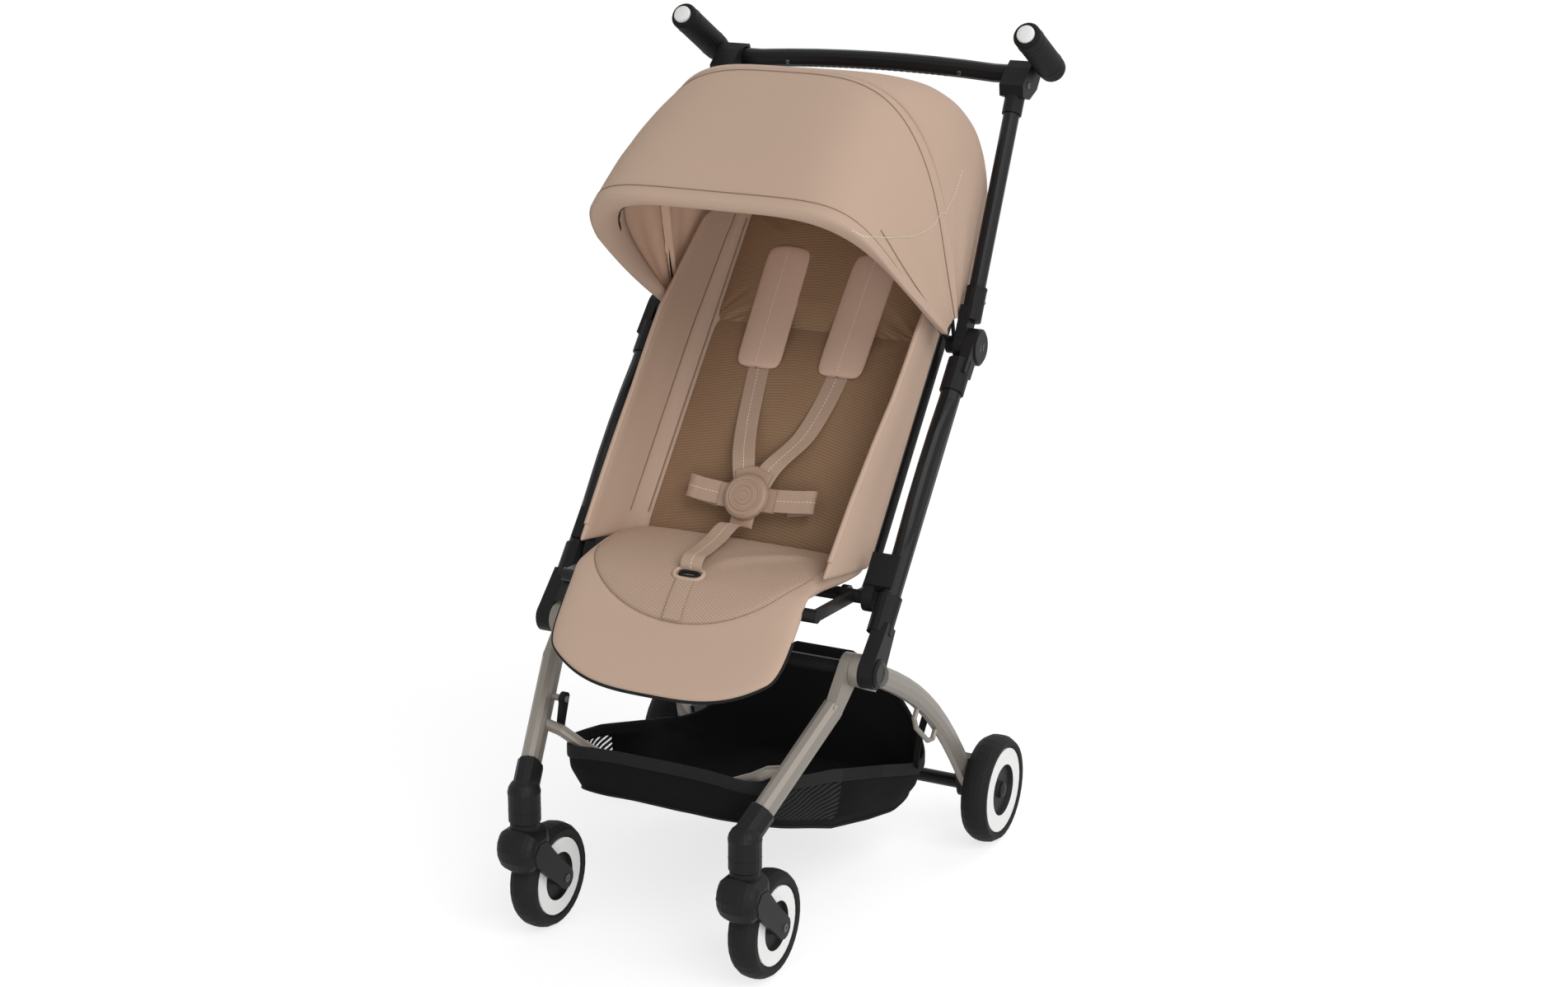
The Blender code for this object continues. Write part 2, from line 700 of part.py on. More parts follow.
def wheel(name, centre, sizes, side):
    """A tyre and its rim: a flat pale ring round a recessed hub."""
    ring, hole = sizes["ring"], sizes["hole"]
    radius = sizes["radius"] / math.cos(math.pi / WHEEL_SEGMENTS)
    half = 0.5 * sizes["width"]
    seat = ring - TYRE_SEAT_DEPTH
    tyre = [
        (seat, -0.80 * half), (ring + 0.0010, -0.97 * half), (0.5 * (ring + radius), -half),
        (radius - 0.0045, -0.86 * half), (radius - 0.0010, -0.52 * half), (radius, -0.20 * half),
        (radius, 0.20 * half), (radius - 0.0010, 0.52 * half), (radius - 0.0045, 0.86 * half),
        (0.5 * (ring + radius), half), (ring + 0.0010, 0.97 * half), (seat, 0.80 * half),
    ]
    revolve(name + "_tyre", tyre, centre, X_AXIS, WHEEL_SEGMENTS, rubber(), ring=True)
    face, recess, boss = 0.90 * half, 0.58 * half, 0.80 * half
    bore = AXLE_RADIUS + PLAY
    edge = seat - GAP
    rim = [
        (bore, -boss), (0.0100, -boss), (0.0115, -recess), (hole - 0.0015, -recess), (hole, -face),
        (edge, -face), (edge, face), (hole, face), (hole - 0.0015, recess), (0.0115, recess),
        (0.0100, boss), (bore, boss),
    ]
    revolve(name + "_rim", rim, centre, X_AXIS, WHEEL_SEGMENTS, pale_plastic(), ring=True)


def rear_legs():
    """Bowed rear legs, their feet with stub axles, the axle tube and the brake pedal."""
    for side in (1, -1):
        word = side_name(side)
        name = "rear_leg_" + word
        dy, dz = REAR_WHEEL[0] - HUB[0], REAR_WHEEL[1] - HUB[1]
        angle = math.degrees(math.atan2(dz, dy))
        outline = link_outline(HUB, angle + 3, REAR_KNUCKLE_REACH, KNUCKLE_RADIUS, 0.8 * REAR_HALF_HEIGHT)
        leg = knuckle(name, outline, HUB, HUB_LAYERS["rear"], side, HUB_PIN_RADIUS, champagne_paint())
        profile_rear = leg_profile(REAR_HALF_WIDTH, REAR_HALF_HEIGHT, side)
        combine(leg, sweep(name + "_tube", rear_leg_path(side, REAR_TUBE_START), profile_rear), "UNION")
        seat = rear_foot_shape(name + "_seat", side, GAP)
        combine(leg, seat, "DIFFERENCE")
        foot = rear_foot_shape("rear_foot_" + word, side, 0.0)
        foot.data.materials.append(black_plastic())
        stub_start = side * (REAR_FOOT_SPAN[1] - 0.004)
        stub_end = side * (REAR_WHEEL_X + 0.5 * BACK_WHEEL["width"])
        stub = rod("stub_" + word, (stub_start, *REAR_WHEEL), (stub_end, *REAR_WHEEL), AXLE_RADIUS, 14)
        combine(foot, stub, "UNION")
        wheel("rear_wheel_" + word, (side * REAR_WHEEL_X, *REAR_WHEEL), BACK_WHEEL, side)
        leg_loop(side)
    half = REAR_FOOT_SPAN[0] - GAP
    rod("rear_axle_tube", (-half, *REAR_WHEEL), (half, *REAR_WHEEL), BAR_RADIUS, 14, black_paint())


def rear_foot_shape(name, side, grow):
    """The moulded foot at the lower end of a rear leg."""
    y, z = REAR_WHEEL
    outline = [along(REAR_WHEEL, a, 0.0170 + grow) for a in range(-150, 31, 20)]
    outline += [(y + 0.004 + grow, z + 0.040 + grow), (y - 0.030 - grow, z + 0.047 + grow)]
    low, high = span(side, REAR_FOOT_SPAN[0] - grow, REAR_FOOT_SPAN[1] + grow)
    return plate(name, outline, low, high)


def leg_loop(side):
    """The loop bracket under the rear leg that the basket strap goes through."""
    path = rear_leg_path(side, REAR_TUBE_START, 40)
    first, last = path[14], path[22]
    down = Vector((0, -0.62, -0.79))
    lift = REAR_HALF_HEIGHT - 0.002
    points = [
        first + down * lift,
        first + down * (lift + 0.014),
        first.lerp(last, 0.18) + down * (lift + 0.021),
        first.lerp(last, 0.82) + down * (lift + 0.021),
        last + down * (lift + 0.014),
        last + down * lift,
    ]
    loop = sweep("loop_" + side_name(side), points, circle(0.0032, 8))
    combine(bpy.data.objects["rear_leg_" + side_name(side)], loop, "UNION")


def brake_pedal():
    """The brake pedal behind the rear axle, on a sleeve that turns on the axle tube."""
    y, z = REAR_WHEEL
    half = 0.030
    outline = [along(REAR_WHEEL, a, 0.0140) for a in range(60, 301, 30)]
    outline += [(y + 0.016, z - 0.016), (y + 0.045, z - 0.003), (y + 0.047, z + 0.006), (y + 0.018, z + 0.013)]
    pedal = plate("brake_pedal", outline, -half, half, black_plastic())
    bore = rod("brake_bore", (-2 * half, y, z), (2 * half, y, z), BAR_RADIUS + PLAY, 14)
    combine(pedal, bore, "DIFFERENCE")


def sleeve(name, start, end, inner, wall, sides=16):
    """A round sleeve about a tube: the outer bar, and the bore to cut from what it joins."""
    outer = rod(name + "_outer", start, end, inner + wall, sides)
    direction = (Vector(end) - Vector(start)).normalized()
    bore = rod(name + "_inner", Vector(start) + direction * 0.006, Vector(end) + direction * 0.01, inner, sides)
    return outer, bore


def push_tubes():
    """The lower push tubes with their hub sockets and the outer halves of the upper hinges."""
    top = PUSH_LENGTH - HINGE_SLEEVE_START - 0.006
    bottom = PUSH_SLEEVE_START + 0.006 + GAP
    for side in (1, -1):
        word = side_name(side)
        outline = link_outline(HUB, PUSH_ANGLE, PUSH_KNUCKLE_REACH, KNUCKLE_RADIUS, PUSH_RADIUS)
        socket = knuckle("hub_socket_" + word, outline, HUB, HUB_LAYERS["push"], side, HUB_PIN_RADIUS, black_plastic())
        start = push_point(side, PUSH_SLEEVE_START)
        end = push_point(side, PUSH_SLEEVE_START + PUSH_SLEEVE_LENGTH)
        outer, bore = sleeve("hub_sleeve_" + word, start, end, PUSH_RADIUS + GAP, SLEEVE_WALL)
        combine(socket, outer, "UNION")
        combine(socket, bore, "DIFFERENCE")
        lower_tube(word, side, bottom, top - GAP)
        lower_hinge_half(side)


def lower_tube(word, side, bottom, top):
    """The lower tube: round in its sleeves, and deeper toward the front along its middle."""
    path, shapes = [], []
    for distance, deepening in ((bottom, 0.0), *PUSH_DEEPENING, (top, 0.0)):
        grow = (PUSH_RADIUS + deepening) / PUSH_RADIUS
        path.append(push_point(side, distance))
        shapes.append([(a, b if b > 0 else b * grow) for a, b in circle(PUSH_RADIUS, 16)])
    sweep("lower_tube_" + word, path, shapes, black_paint())


def lower_hinge_half(side):
    """The outer half of an upper hinge, with the pin that carries the other half and the canopy bows."""
    word = side_name(side)
    pivot = hinge_pivot()
    low, high = HINGE_LAYERS["lower"]
    outline = hinge_outline(pivot, PUSH_ANGLE + 180, -1)
    half = plate("hinge_outer_" + word, outline, *span(side, low, high), black_plastic())
    start = push_point(side, PUSH_LENGTH - HINGE_SLEEVE_START)
    end = push_point(side, PUSH_LENGTH - HINGE_SLEEVE_START - HINGE_SLEEVE_LENGTH)
    outer, bore = sleeve("hinge_sleeve_" + word, start, end, PUSH_RADIUS + GAP, SLEEVE_WALL)
    combine(half, outer, "UNION")
    combine(half, bore, "DIFFERENCE")
    pin_end = FRONT_BOW_X - BOW_THICKNESS
    pin = rod("hinge_pin_" + word, (side * (low + 0.004), *pivot), (side * pin_end, *pivot), HINGE_PIN_RADIUS, 16)
    combine(half, pin, "UNION")
    cap = revolve(
        "hinge_cap_" + word,
        [(HINGE_CAP_RADIUS, -0.002), (HINGE_CAP_RADIUS, 0.5 * HINGE_CAP_THICKNESS),
         (HINGE_CAP_RADIUS - 0.0015, HINGE_CAP_THICKNESS)],
        (side * high, *pivot), (side, 0, 0), 28,
    )
    combine(half, cap, "UNION")


def handle():
    """Upper tubes, inner hinge halves, brackets, crossbar, grips and their thumb buttons."""
    pivot = hinge_pivot()
    start_distance = HINGE_SLEEVE_START
    top = UPPER_LENGTH - 0.018
    for side in (1, -1):
        word = side_name(side)
        outline = hinge_outline(pivot, UPPER_ANGLE, 1)
        layer = HINGE_LAYERS["upper"]
        inner = knuckle("hinge_inner_" + word, outline, pivot, layer, side, HINGE_PIN_RADIUS, black_plastic())
        start = upper_point(side, start_distance)
        end = upper_point(side, start_distance + HINGE_SLEEVE_LENGTH)
        outer, bore = sleeve("collar_" + word, start, end, UPPER_RADIUS + GAP, SLEEVE_WALL)
        combine(inner, outer, "UNION")
        combine(inner, bore, "DIFFERENCE")
        rod(
            "upper_tube_" + word, upper_point(side, start_distance + 0.006 + GAP), upper_point(side, top),
            UPPER_RADIUS, 16, black_paint(),
        )
        handle_bracket(side, top)
        grip(side)
    arch_half = CROSSBAR_HALF - CROSSBAR_STRAIGHT_END
    bar_y, bar_z = crossbar_centre()
    path = []
    for x in (-CROSSBAR_HALF, *[arch_half * (i / 4 - 1) for i in range(9)], CROSSBAR_HALF):
        rise = CROSSBAR_ARCH * max(0.0, 1 - (x / arch_half) ** 2)
        path.append(Vector((x, bar_y, bar_z + rise)))
    sweep("crossbar", path, superellipse(CROSSBAR_RADIUS, CROSSBAR_RADIUS, 14, 0.85), black_plastic(), Y_AXIS)


def bracket_outline():
    """The side view of the bracket that joins tube, crossbar and grip, no higher than the crossbar needs."""
    tube_y, tube_z = along(hinge_point(), UPPER_ANGLE, UPPER_LENGTH - 0.012)
    bar_y, bar_z = crossbar_centre()
    near_tube = [(tube_y - 0.0160, tube_z + 0.0100), (tube_y - 0.0140, tube_z - 0.0040), (tube_y + 0.008, tube_z - 0.010)]
    return near_tube + [(bar_y + a, bar_z + b) for a, b in BRACKET_ROUND_BAR]


def handle_bracket(side, top):
    """The moulded bracket at the top of an upper tube, with a socket for the tube."""
    word = side_name(side)
    bracket = plate("handle_bracket_" + word, bracket_outline(), *span(side, *BRACKET_SPAN), black_plastic())
    start = upper_point(side, top + 0.004)
    end = upper_point(side, top - BRACKET_SOCKET)
    outer = rod("bracket_socket_" + word, start, end, UPPER_RADIUS + SLEEVE_WALL, 16)
    combine(bracket, outer, "UNION")
    bore = rod("bracket_bore_" + word, upper_point(side, top + GAP), upper_point(side, top - 0.04), UPPER_RADIUS + GAP, 16)
    combine(bracket, bore, "DIFFERENCE")
    hole_end = side * (CROSSBAR_HALF + GAP)
    hole = rod(
        "bracket_hole_" + word, (side * (BRACKET_SPAN[0] - 0.01), *crossbar_centre()), (hole_end, *crossbar_centre()),
        CROSSBAR_RADIUS + CROSSBAR_CLEARANCE, 16,
    )
    combine(bracket, hole, "DIFFERENCE")


def grip_axis():
    """The direction of the grips, up and forward."""
    c, s = turn(GRIP_TILT)
    return Vector((0, c, s))


def grip(side):
    """A round-ended grip with a thumb button in its upper front end."""
    word = side_name(side)
    axis = grip_axis()
    centre = Vector((side * GRIP_X, *grip_centre()))
    half = 0.5 * GRIP_LENGTH
    outline = [(0.0, -half)]
    for degrees in (25, 50, 75):
        t = math.radians(degrees)
        outline.append((GRIP_RADIUS * math.sin(t), -half + GRIP_RADIUS * (1 - math.cos(t))))
    outline += [
        (GRIP_RADIUS, -half + GRIP_RADIUS),
        (GRIP_RADIUS, half - 0.0040),
        (GRIP_RADIUS - 0.0020, half - 0.0008),
        (GRIP_RADIUS - 0.0040, half),
    ]
    body = revolve("grip_" + word, outline, centre, axis, 24, rubber())
    well_start = centre + axis * (half - GRIP_BUTTON_LENGTH)
    well = rod("grip_well_" + word, well_start, centre + axis * (half + 0.01), GRIP_BUTTON_RADIUS + GAP, 18)
    combine(body, well, "DIFFERENCE")
    start = half - GRIP_BUTTON_LENGTH + GRIP_BUTTON_TRAVEL + GAP
    button = [
        (GRIP_BUTTON_RADIUS, start),
        (GRIP_BUTTON_RADIUS, half + 0.0020),
        (GRIP_BUTTON_RADIUS - 0.0012, half + 0.0038),
        (0.5 * GRIP_BUTTON_RADIUS, half + 0.0048),
        (0.0, half + 0.0050),
    ]
    revolve("grip_button_" + word, button, centre, axis, 18, pale_plastic())


def seat_frame():
    """The seat's bars: a rear tube on the push tubes, clamps, and a hinged U under the cushion."""
    for side in (1, -1):
        word = side_name(side)
        outline = clamp_outline()
        clamp = plate("seat_clamp_" + word, outline, *span(side, CLAMP_INNER_X, PUSH_X + 0.0040), black_plastic())
        combine(clamp, plate("clamp_nose_" + word, nose_outline(), *span(side, CLAMP_INNER_X, CLAMP_NOSE_X)), "UNION")
        start, end = push_point(side, CLAMP_DISTANCE - 0.05), push_point(side, CLAMP_DISTANCE + 0.05)
        combine(clamp, rod("clamp_bore_" + word, start, end, PUSH_RADIUS + GAP, 16), "DIFFERENCE")
        start, end = (side * 0.16, *SEAT_PIVOT), (side * (SEAT_TUBE_HALF + GAP), *SEAT_PIVOT)
        combine(clamp, rod("clamp_eye_" + word, start, end, SEAT_BAR_RADIUS + PLAY, 14), "DIFFERENCE")
    half = SEAT_FRAME_HALF
    front = along(SEAT_PIVOT, SEAT_ANGLE, SEAT_DEPTH)
    start, end = (-SEAT_TUBE_HALF, *SEAT_PIVOT), (SEAT_TUBE_HALF, *SEAT_PIVOT)
    bar = rod("seat_frame", start, end, SEAT_BAR_RADIUS, 14, black_paint())
    front_bar = rod("seat_front_bar", (-half, *front), (half, *front), SEAT_BAR_RADIUS, 14)
    combine(bar, front_bar, "UNION")
    for side in (1, -1):
        corners = ((-0.004, -0.006), (SEAT_DEPTH + 0.002, -0.006), (SEAT_DEPTH + 0.002, 0.006), (-0.004, 0.006))
        outline = [along(SEAT_PIVOT, SEAT_ANGLE, a, b) for a, b in corners]
        arm = plate("seat_arm_" + side_name(side), outline, *span(side, half - SEAT_ARM_WIDTH, half))
        combine(bar, arm, "UNION")


def clamp_outline():
    """The side view of the seat clamp round the push tube."""
    wall = PUSH_RADIUS + 0.0035
    points = [
        (-0.020, -wall), (0.020, -wall), (0.024, -0.3 * wall), (0.020, wall), (-0.020, wall), (-0.024, 0.3 * wall),
    ]
    return [along(HUB, PUSH_ANGLE, CLAMP_DISTANCE + a, b) for a, b in points]


def nose_outline():
    """The side view of the clamp's nose, which holds the seat tube's end beside the push tube."""
    points = [along(SEAT_PIVOT, PUSH_ANGLE + 90 + 180 * i / 8, 0.0155) for i in range(9)]
    return points + [along(SEAT_PIVOT, PUSH_ANGLE, 0.020, b) for b in (-0.0155, 0.0155)]


def fold_hook():
    """The fold hook on the inner side of one front leg, on a pin that stands out of the leg."""
    side = -1
    root = front_leg_point(side, HOOK_DISTANCE)
    inner = abs(root.x) - LEG_HALF_WIDTH
    low, high = span(side, inner - HOOK_STAND_OFF - HOOK_THICKNESS, inner - HOOK_STAND_OFF)
    y, z = root.y, root.z
    outline = [along((y, z), a, 0.0085) for a in range(20, 201, 30)]
    outline += [
        (y - 0.014, z - 0.030), (y - 0.010, z - 0.044), (y + 0.003, z - 0.046),
        (y + 0.002, z - 0.040), (y - 0.005, z - 0.037), (y - 0.003, z - 0.028),
    ]
    hook = plate("fold_hook", outline, low, high, black_plastic())
    bore = rod("hook_bore", (low - 0.01, y, z), (high + 0.01, y, z), HOOK_PIN_RADIUS + PLAY, 14)
    combine(hook, bore, "DIFFERENCE")
    pin_end = side * (inner - HOOK_STAND_OFF - HOOK_THICKNESS - 0.001)
    pin = rod("hook_pin", (root.x, y, z), (pin_end, y, z), HOOK_PIN_RADIUS, 14)
    combine(bpy.data.objects["front_leg_" + side_name(side)], pin, "UNION")


def hoop(angle, half_width, reach, steps, start=0.010):
    """Points of a hoop that stands on the upper hinge's axis at an angle, as a boxy half ellipse."""
    pivot = hinge_pivot()
    points = []
    for i in range(steps + 1):
        t = start + (math.pi - 2 * start) * (0.5 - 0.5 * math.cos(math.pi * i / steps))
        c, s = math.cos(t), math.sin(t)
        x = half_width * math.copysign(abs(c) ** CANOPY_CORNER, c)
        y, z = along(pivot, angle, reach * s ** CANOPY_CORNER)
        points.append(Vector((x, y, z)))
    return points


def canopy_bow(name, angle, bow_x, reach):
    """A flat strip bent to a hoop, with an eye round the hinge pin at each end."""
    pivot = hinge_pivot()
    plane = Vector((0, *turn(angle + 90)))
    profile = superellipse(0.5 * BOW_WIDTH, 0.5 * BOW_THICKNESS, 8, 0.6)
    foot = along(pivot, angle, 0.0080)
    path = [Vector((bow_x, *foot))] + hoop(angle, bow_x, reach - BOW_INSET, 26) + [Vector((-bow_x, *foot))]
    bow = sweep(name, path, profile, black_plastic(), plane)
    for side in (1, -1):
        low, high = span(side, bow_x - 0.5 * BOW_THICKNESS - 0.0008, bow_x + 0.5 * BOW_THICKNESS + 0.0008)
        eye = rod(name + "_eye", (low, *pivot), (high, *pivot), 0.0105, 16)
        combine(bow, eye, "UNION")
    bore_end = bow_x + 0.01
    bore = rod(name + "_bore", (-bore_end, *pivot), (bore_end, *pivot), HINGE_PIN_RADIUS + PLAY, 16)
    combine(bow, bore, "DIFFERENCE")
    return bow


def grid_shell(name, outer, inner, finish):
    """A thin closed shell between two equal grids of points, outer and inner."""
    rows, columns = len(outer), len(outer[0])
    verts = [p for row in outer for p in row] + [p for row in inner for p in row]
    offset = rows * columns

    def at(i, j, layer):
        return layer * offset + i * columns + j

    faces = []
    for i in range(rows - 1):
        for j in range(columns - 1):
            faces.append((at(i, j, 0), at(i, j + 1, 0), at(i + 1, j + 1, 0), at(i + 1, j, 0)))
            faces.append((at(i, j, 1), at(i + 1, j, 1), at(i + 1, j + 1, 1), at(i, j + 1, 1)))
    for j in range(columns - 1):
        for i in (0, rows - 1):
            faces.append((at(i, j, 0), at(i, j + 1, 0), at(i, j + 1, 1), at(i, j, 1)))
    for i in range(rows - 1):
        for j in (0, columns - 1):
            faces.append((at(i, j, 0), at(i + 1, j, 0), at(i + 1, j, 1), at(i, j, 1)))
    return mesh_object(name, verts, faces, finish)


def canopy_panel(name, first, last, steps, columns=22):
    """Canopy cloth between two hoops, each given as (angle, half width, reach); it sags between them."""
    outer, inner = [], []
    for i in range(steps + 1):
        share = i / steps
        angle = first[0] + (last[0] - first[0]) * share
        width = first[1] + (last[1] - first[1]) * share
        reach = first[2] + (last[2] - first[2]) * share
        sag = CANOPY_SAG * math.sin(math.pi * share)
        outer.append(hoop(angle, width, reach - sag, columns, 0.030))
        inner.append(hoop(angle, width - CANOPY_CLOTH, reach - sag - CANOPY_CLOTH, columns, 0.030))
    return grid_shell(name, outer, inner, tan_fabric())


def canopy():
    """Two bows and the two cloth panels that they spread."""
    canopy_bow("canopy_main_bow", CANOPY_MAIN_ANGLE, MAIN_BOW_X, CANOPY_REACH)
    canopy_bow("canopy_front_bow", CANOPY_FRONT_ANGLE - 1.5, FRONT_BOW_X, CANOPY_FRONT_REACH)
    seam = (CANOPY_MAIN_ANGLE, CANOPY_HALF_WIDTH, CANOPY_REACH)
    rear = (CANOPY_REAR_ANGLE, CANOPY_HALF_WIDTH - 0.008, CANOPY_REAR_REACH)
    front = (CANOPY_FRONT_ANGLE, CANOPY_HALF_WIDTH - 0.004, CANOPY_FRONT_REACH)
    canopy_panel("canopy_rear_panel", rear, (seam[0] - 0.1, seam[1], seam[2]), 7)
    canopy_panel("canopy_front_panel", (seam[0] + 0.1, seam[1], seam[2]), front, 5)


def pad(name, origin, angle, length, half_width, thickness, finish, crown=0.25, rows=10):
    """A cushion along a line in side view: a crowned slab with drawn-in sides and round ends.

    Its back face lies on the line; thickness stands to the left of the line's direction.
    """
    rings = []
    for i in range(rows + 1):
        share = i / rows
        bulge = max(0.30, (1 - (2 * share - 1) ** 6) ** 0.5)
        width = half_width * (0.97 + 0.03 * bulge)
        half = 0.5 * thickness * bulge
        ring = []
        for a, b in superellipse(1.0, 1.0, 24, 0.6):
            swell = 1 + crown * (1 - a * a) * (1 if b > 0 else 0)
            y, z = along(origin, angle, length * share, 0.5 * thickness + half * b * swell)
            ring.append(Vector((width * a, y, z)))
        rings.append(ring)
    return loft(name, rings, finish)


def seat_cushion():
    """The seat pad on the seat frame, with a slot for the crotch strap."""
    origin = along(SEAT_PIVOT, SEAT_ANGLE, -SEAT_REAR_OVERHANG, -SEAT_BAR_RADIUS - GAP)
    length = SEAT_REAR_OVERHANG + SEAT_DEPTH - LEG_REST_HEM - GAP
    cushion = pad(
        "seat_cushion", origin, SEAT_ANGLE, length, -SEAT_HALF_WIDTH, -SEAT_CUSHION_THICKNESS, dark_fabric(),
    )
    half_x, half_y = STRAP_HALF_WIDTH + 0.003, 0.0055
    slot = superellipse(half_x, half_y, 12, 0.6)
    rings = [[Vector((a, CROTCH_SLOT_Y + b, SEAT_PIVOT[1] + z)) for a, b in slot] for z in (0.0, 0.06)]
    combine(cushion, loft("crotch_slot", rings), "DIFFERENCE")


def back_point(x, up, out):
    """A point by its distance up the back pad and out from its front face."""
    return Vector((x, *along(BACK_START, BACK_ANGLE, up, out)))


def table_value(table, at):
    """A value read from a table of (distance, value) pairs, straight between its rows."""
    for (low, first), (high, last) in zip(table, table[1:]):
        if at <= high:
            return first + (last - first) * (at - low) / (high - low)
    return table[-1][1]


def back_rest():
    """The back's bent tube, hinged on the seat tube by an eye at each foot, and its pad."""
    corner = 0.045
    out = -BACK_PAD_THICKNESS - GAP - BACK_BAR_RADIUS
    eye_y, eye_z = SEAT_PIVOT
    path = [
        Vector((BACK_BAR_X, eye_y + 0.0095, eye_z - 0.0030)),
        Vector((BACK_BAR_X, eye_y + 0.0330, eye_z - 0.0100)),
        Vector((BACK_BAR_X, eye_y + 0.0540, eye_z - 0.0110)),
        back_point(BACK_BAR_X, 0.012, out),
        back_point(BACK_BAR_X, 0.030, out),
    ]
    for i in range(7):
        t = math.radians(90 * i / 6)
        x = BACK_BAR_X - corner + corner * math.cos(t)
        path.append(back_point(x, BACK_LENGTH - corner + corner * math.sin(t), out))
    path += [Vector((-p.x, p.y, p.z)) for p in reversed(path)]
    bar = sweep("backrest_frame", path, circle(BACK_BAR_RADIUS, 10), black_paint(), Vector((0.6, -0.62, 0.5)))
    for side in (1, -1):
        low, high = span(side, BACK_BAR_X - 0.5 * BACK_EYE_WIDTH, BACK_BAR_X + 0.5 * BACK_EYE_WIDTH)
        eye = rod("back_eye_" + side_name(side), (low, *SEAT_PIVOT), (high, *SEAT_PIVOT), BACK_EYE_RADIUS, 16)
        combine(bar, eye, "UNION")
    end = BACK_BAR_X + 0.02
    bore = rod("back_bore", (-end, *SEAT_PIVOT), (end, *SEAT_PIVOT), SEAT_BAR_RADIUS + PLAY, 14)
    combine(bar, bore, "DIFFERENCE")
    back_pad()


def back_pad():
    """The back pad with its side wings: one channel-shaped section, carried up the back."""
    rows = 16
    rings = []
    for i in range(rows + 1):
        up = BACK_PAD_START + (BACK_PAD_END - BACK_PAD_START) * i / rows
        depth = table_value(WING_DEPTH, up)
        tip = table_value(WING_X, up)
        slant = WING_SLANT * max(0.0, 1 - up / WING_SLANT_END)
        end = min(1.0, 0.45 + 0.55 * math.sin(math.pi * min(0.5, 6 * min(i, rows - i) / rows)))
        rear = -BACK_PAD_THICKNESS * end
        wing = WING_HALF_THICKNESS
        root = 0.1500
        inner = [(0.0, 0.0030), (0.060, 0.0026), (0.105, 0.0015), (0.132, 0.0010), (0.146, 0.0070 * end + 0.001)]
        outer = [(0.0, rear), (0.060, rear), (0.110, rear), (0.140, 0.9 * rear), (0.157, 0.5 * rear)]
        for share in (0.25, 0.60, 0.92):
            x = root + (tip - root) * share + 0.004 * math.sin(math.pi * share)
            inner.append((x - wing + 0.003 * (1 - share), max(0.009, depth * share)))
            outer.append((x + wing + 0.006 * (1 - share), max(0.009, depth * share)))
        inner.append((tip - 0.3 * wing, depth))
        outer.append((tip + 0.4 * wing, depth))
        ring = [(-x, out) for x, out in reversed(inner[1:])] + inner
        ring += list(reversed(outer)) + [(-x, out) for x, out in outer[1:]]
        rings.append([back_point(x, up - slant * max(0.0, out), out) for x, out in ring])
    loft("backrest_cushion", rings, tan_fabric())


def leg_rest():
    """The stiff calf flap, with a hem that wraps the seat's front bar."""
    front = along(SEAT_PIVOT, SEAT_ANGLE, SEAT_DEPTH)
    origin = along(front, LEG_REST_ANGLE, 0.0, LEG_REST_THICKNESS - LEG_REST_HEM)
    flap = pad(
        "leg_rest", origin, LEG_REST_ANGLE, LEG_REST_LENGTH, -LEG_REST_HALF_WIDTH, -LEG_REST_THICKNESS,
        tan_fabric(), crown=0.1,
    )
    half = 0.975 * LEG_REST_HALF_WIDTH
    combine(flap, rod("leg_rest_hem", (-half, *front), (half, *front), LEG_REST_HEM, 18), "UNION")
    end = LEG_REST_HALF_WIDTH + 0.01
    bore = rod("leg_rest_bore", (-end, *front), (end, *front), SEAT_BAR_RADIUS + PLAY, 14)
    combine(flap, bore, "DIFFERENCE")


def strap(name, path, across=X_AXIS):
    """A flat strap along a path, its width along across."""
    a, b = STRAP_HALF_WIDTH, STRAP_HALF_THICKNESS
    return sweep(name, path, [(a, -b), (a, b), (-a, b), (-a, -b)], None, across)


def buckle_point(x, out):
    """A point by its x and its distance out from the buckle's middle."""
    return Vector((x, *along(BUCKLE_CENTRE, BUCKLE_TILT, out)))


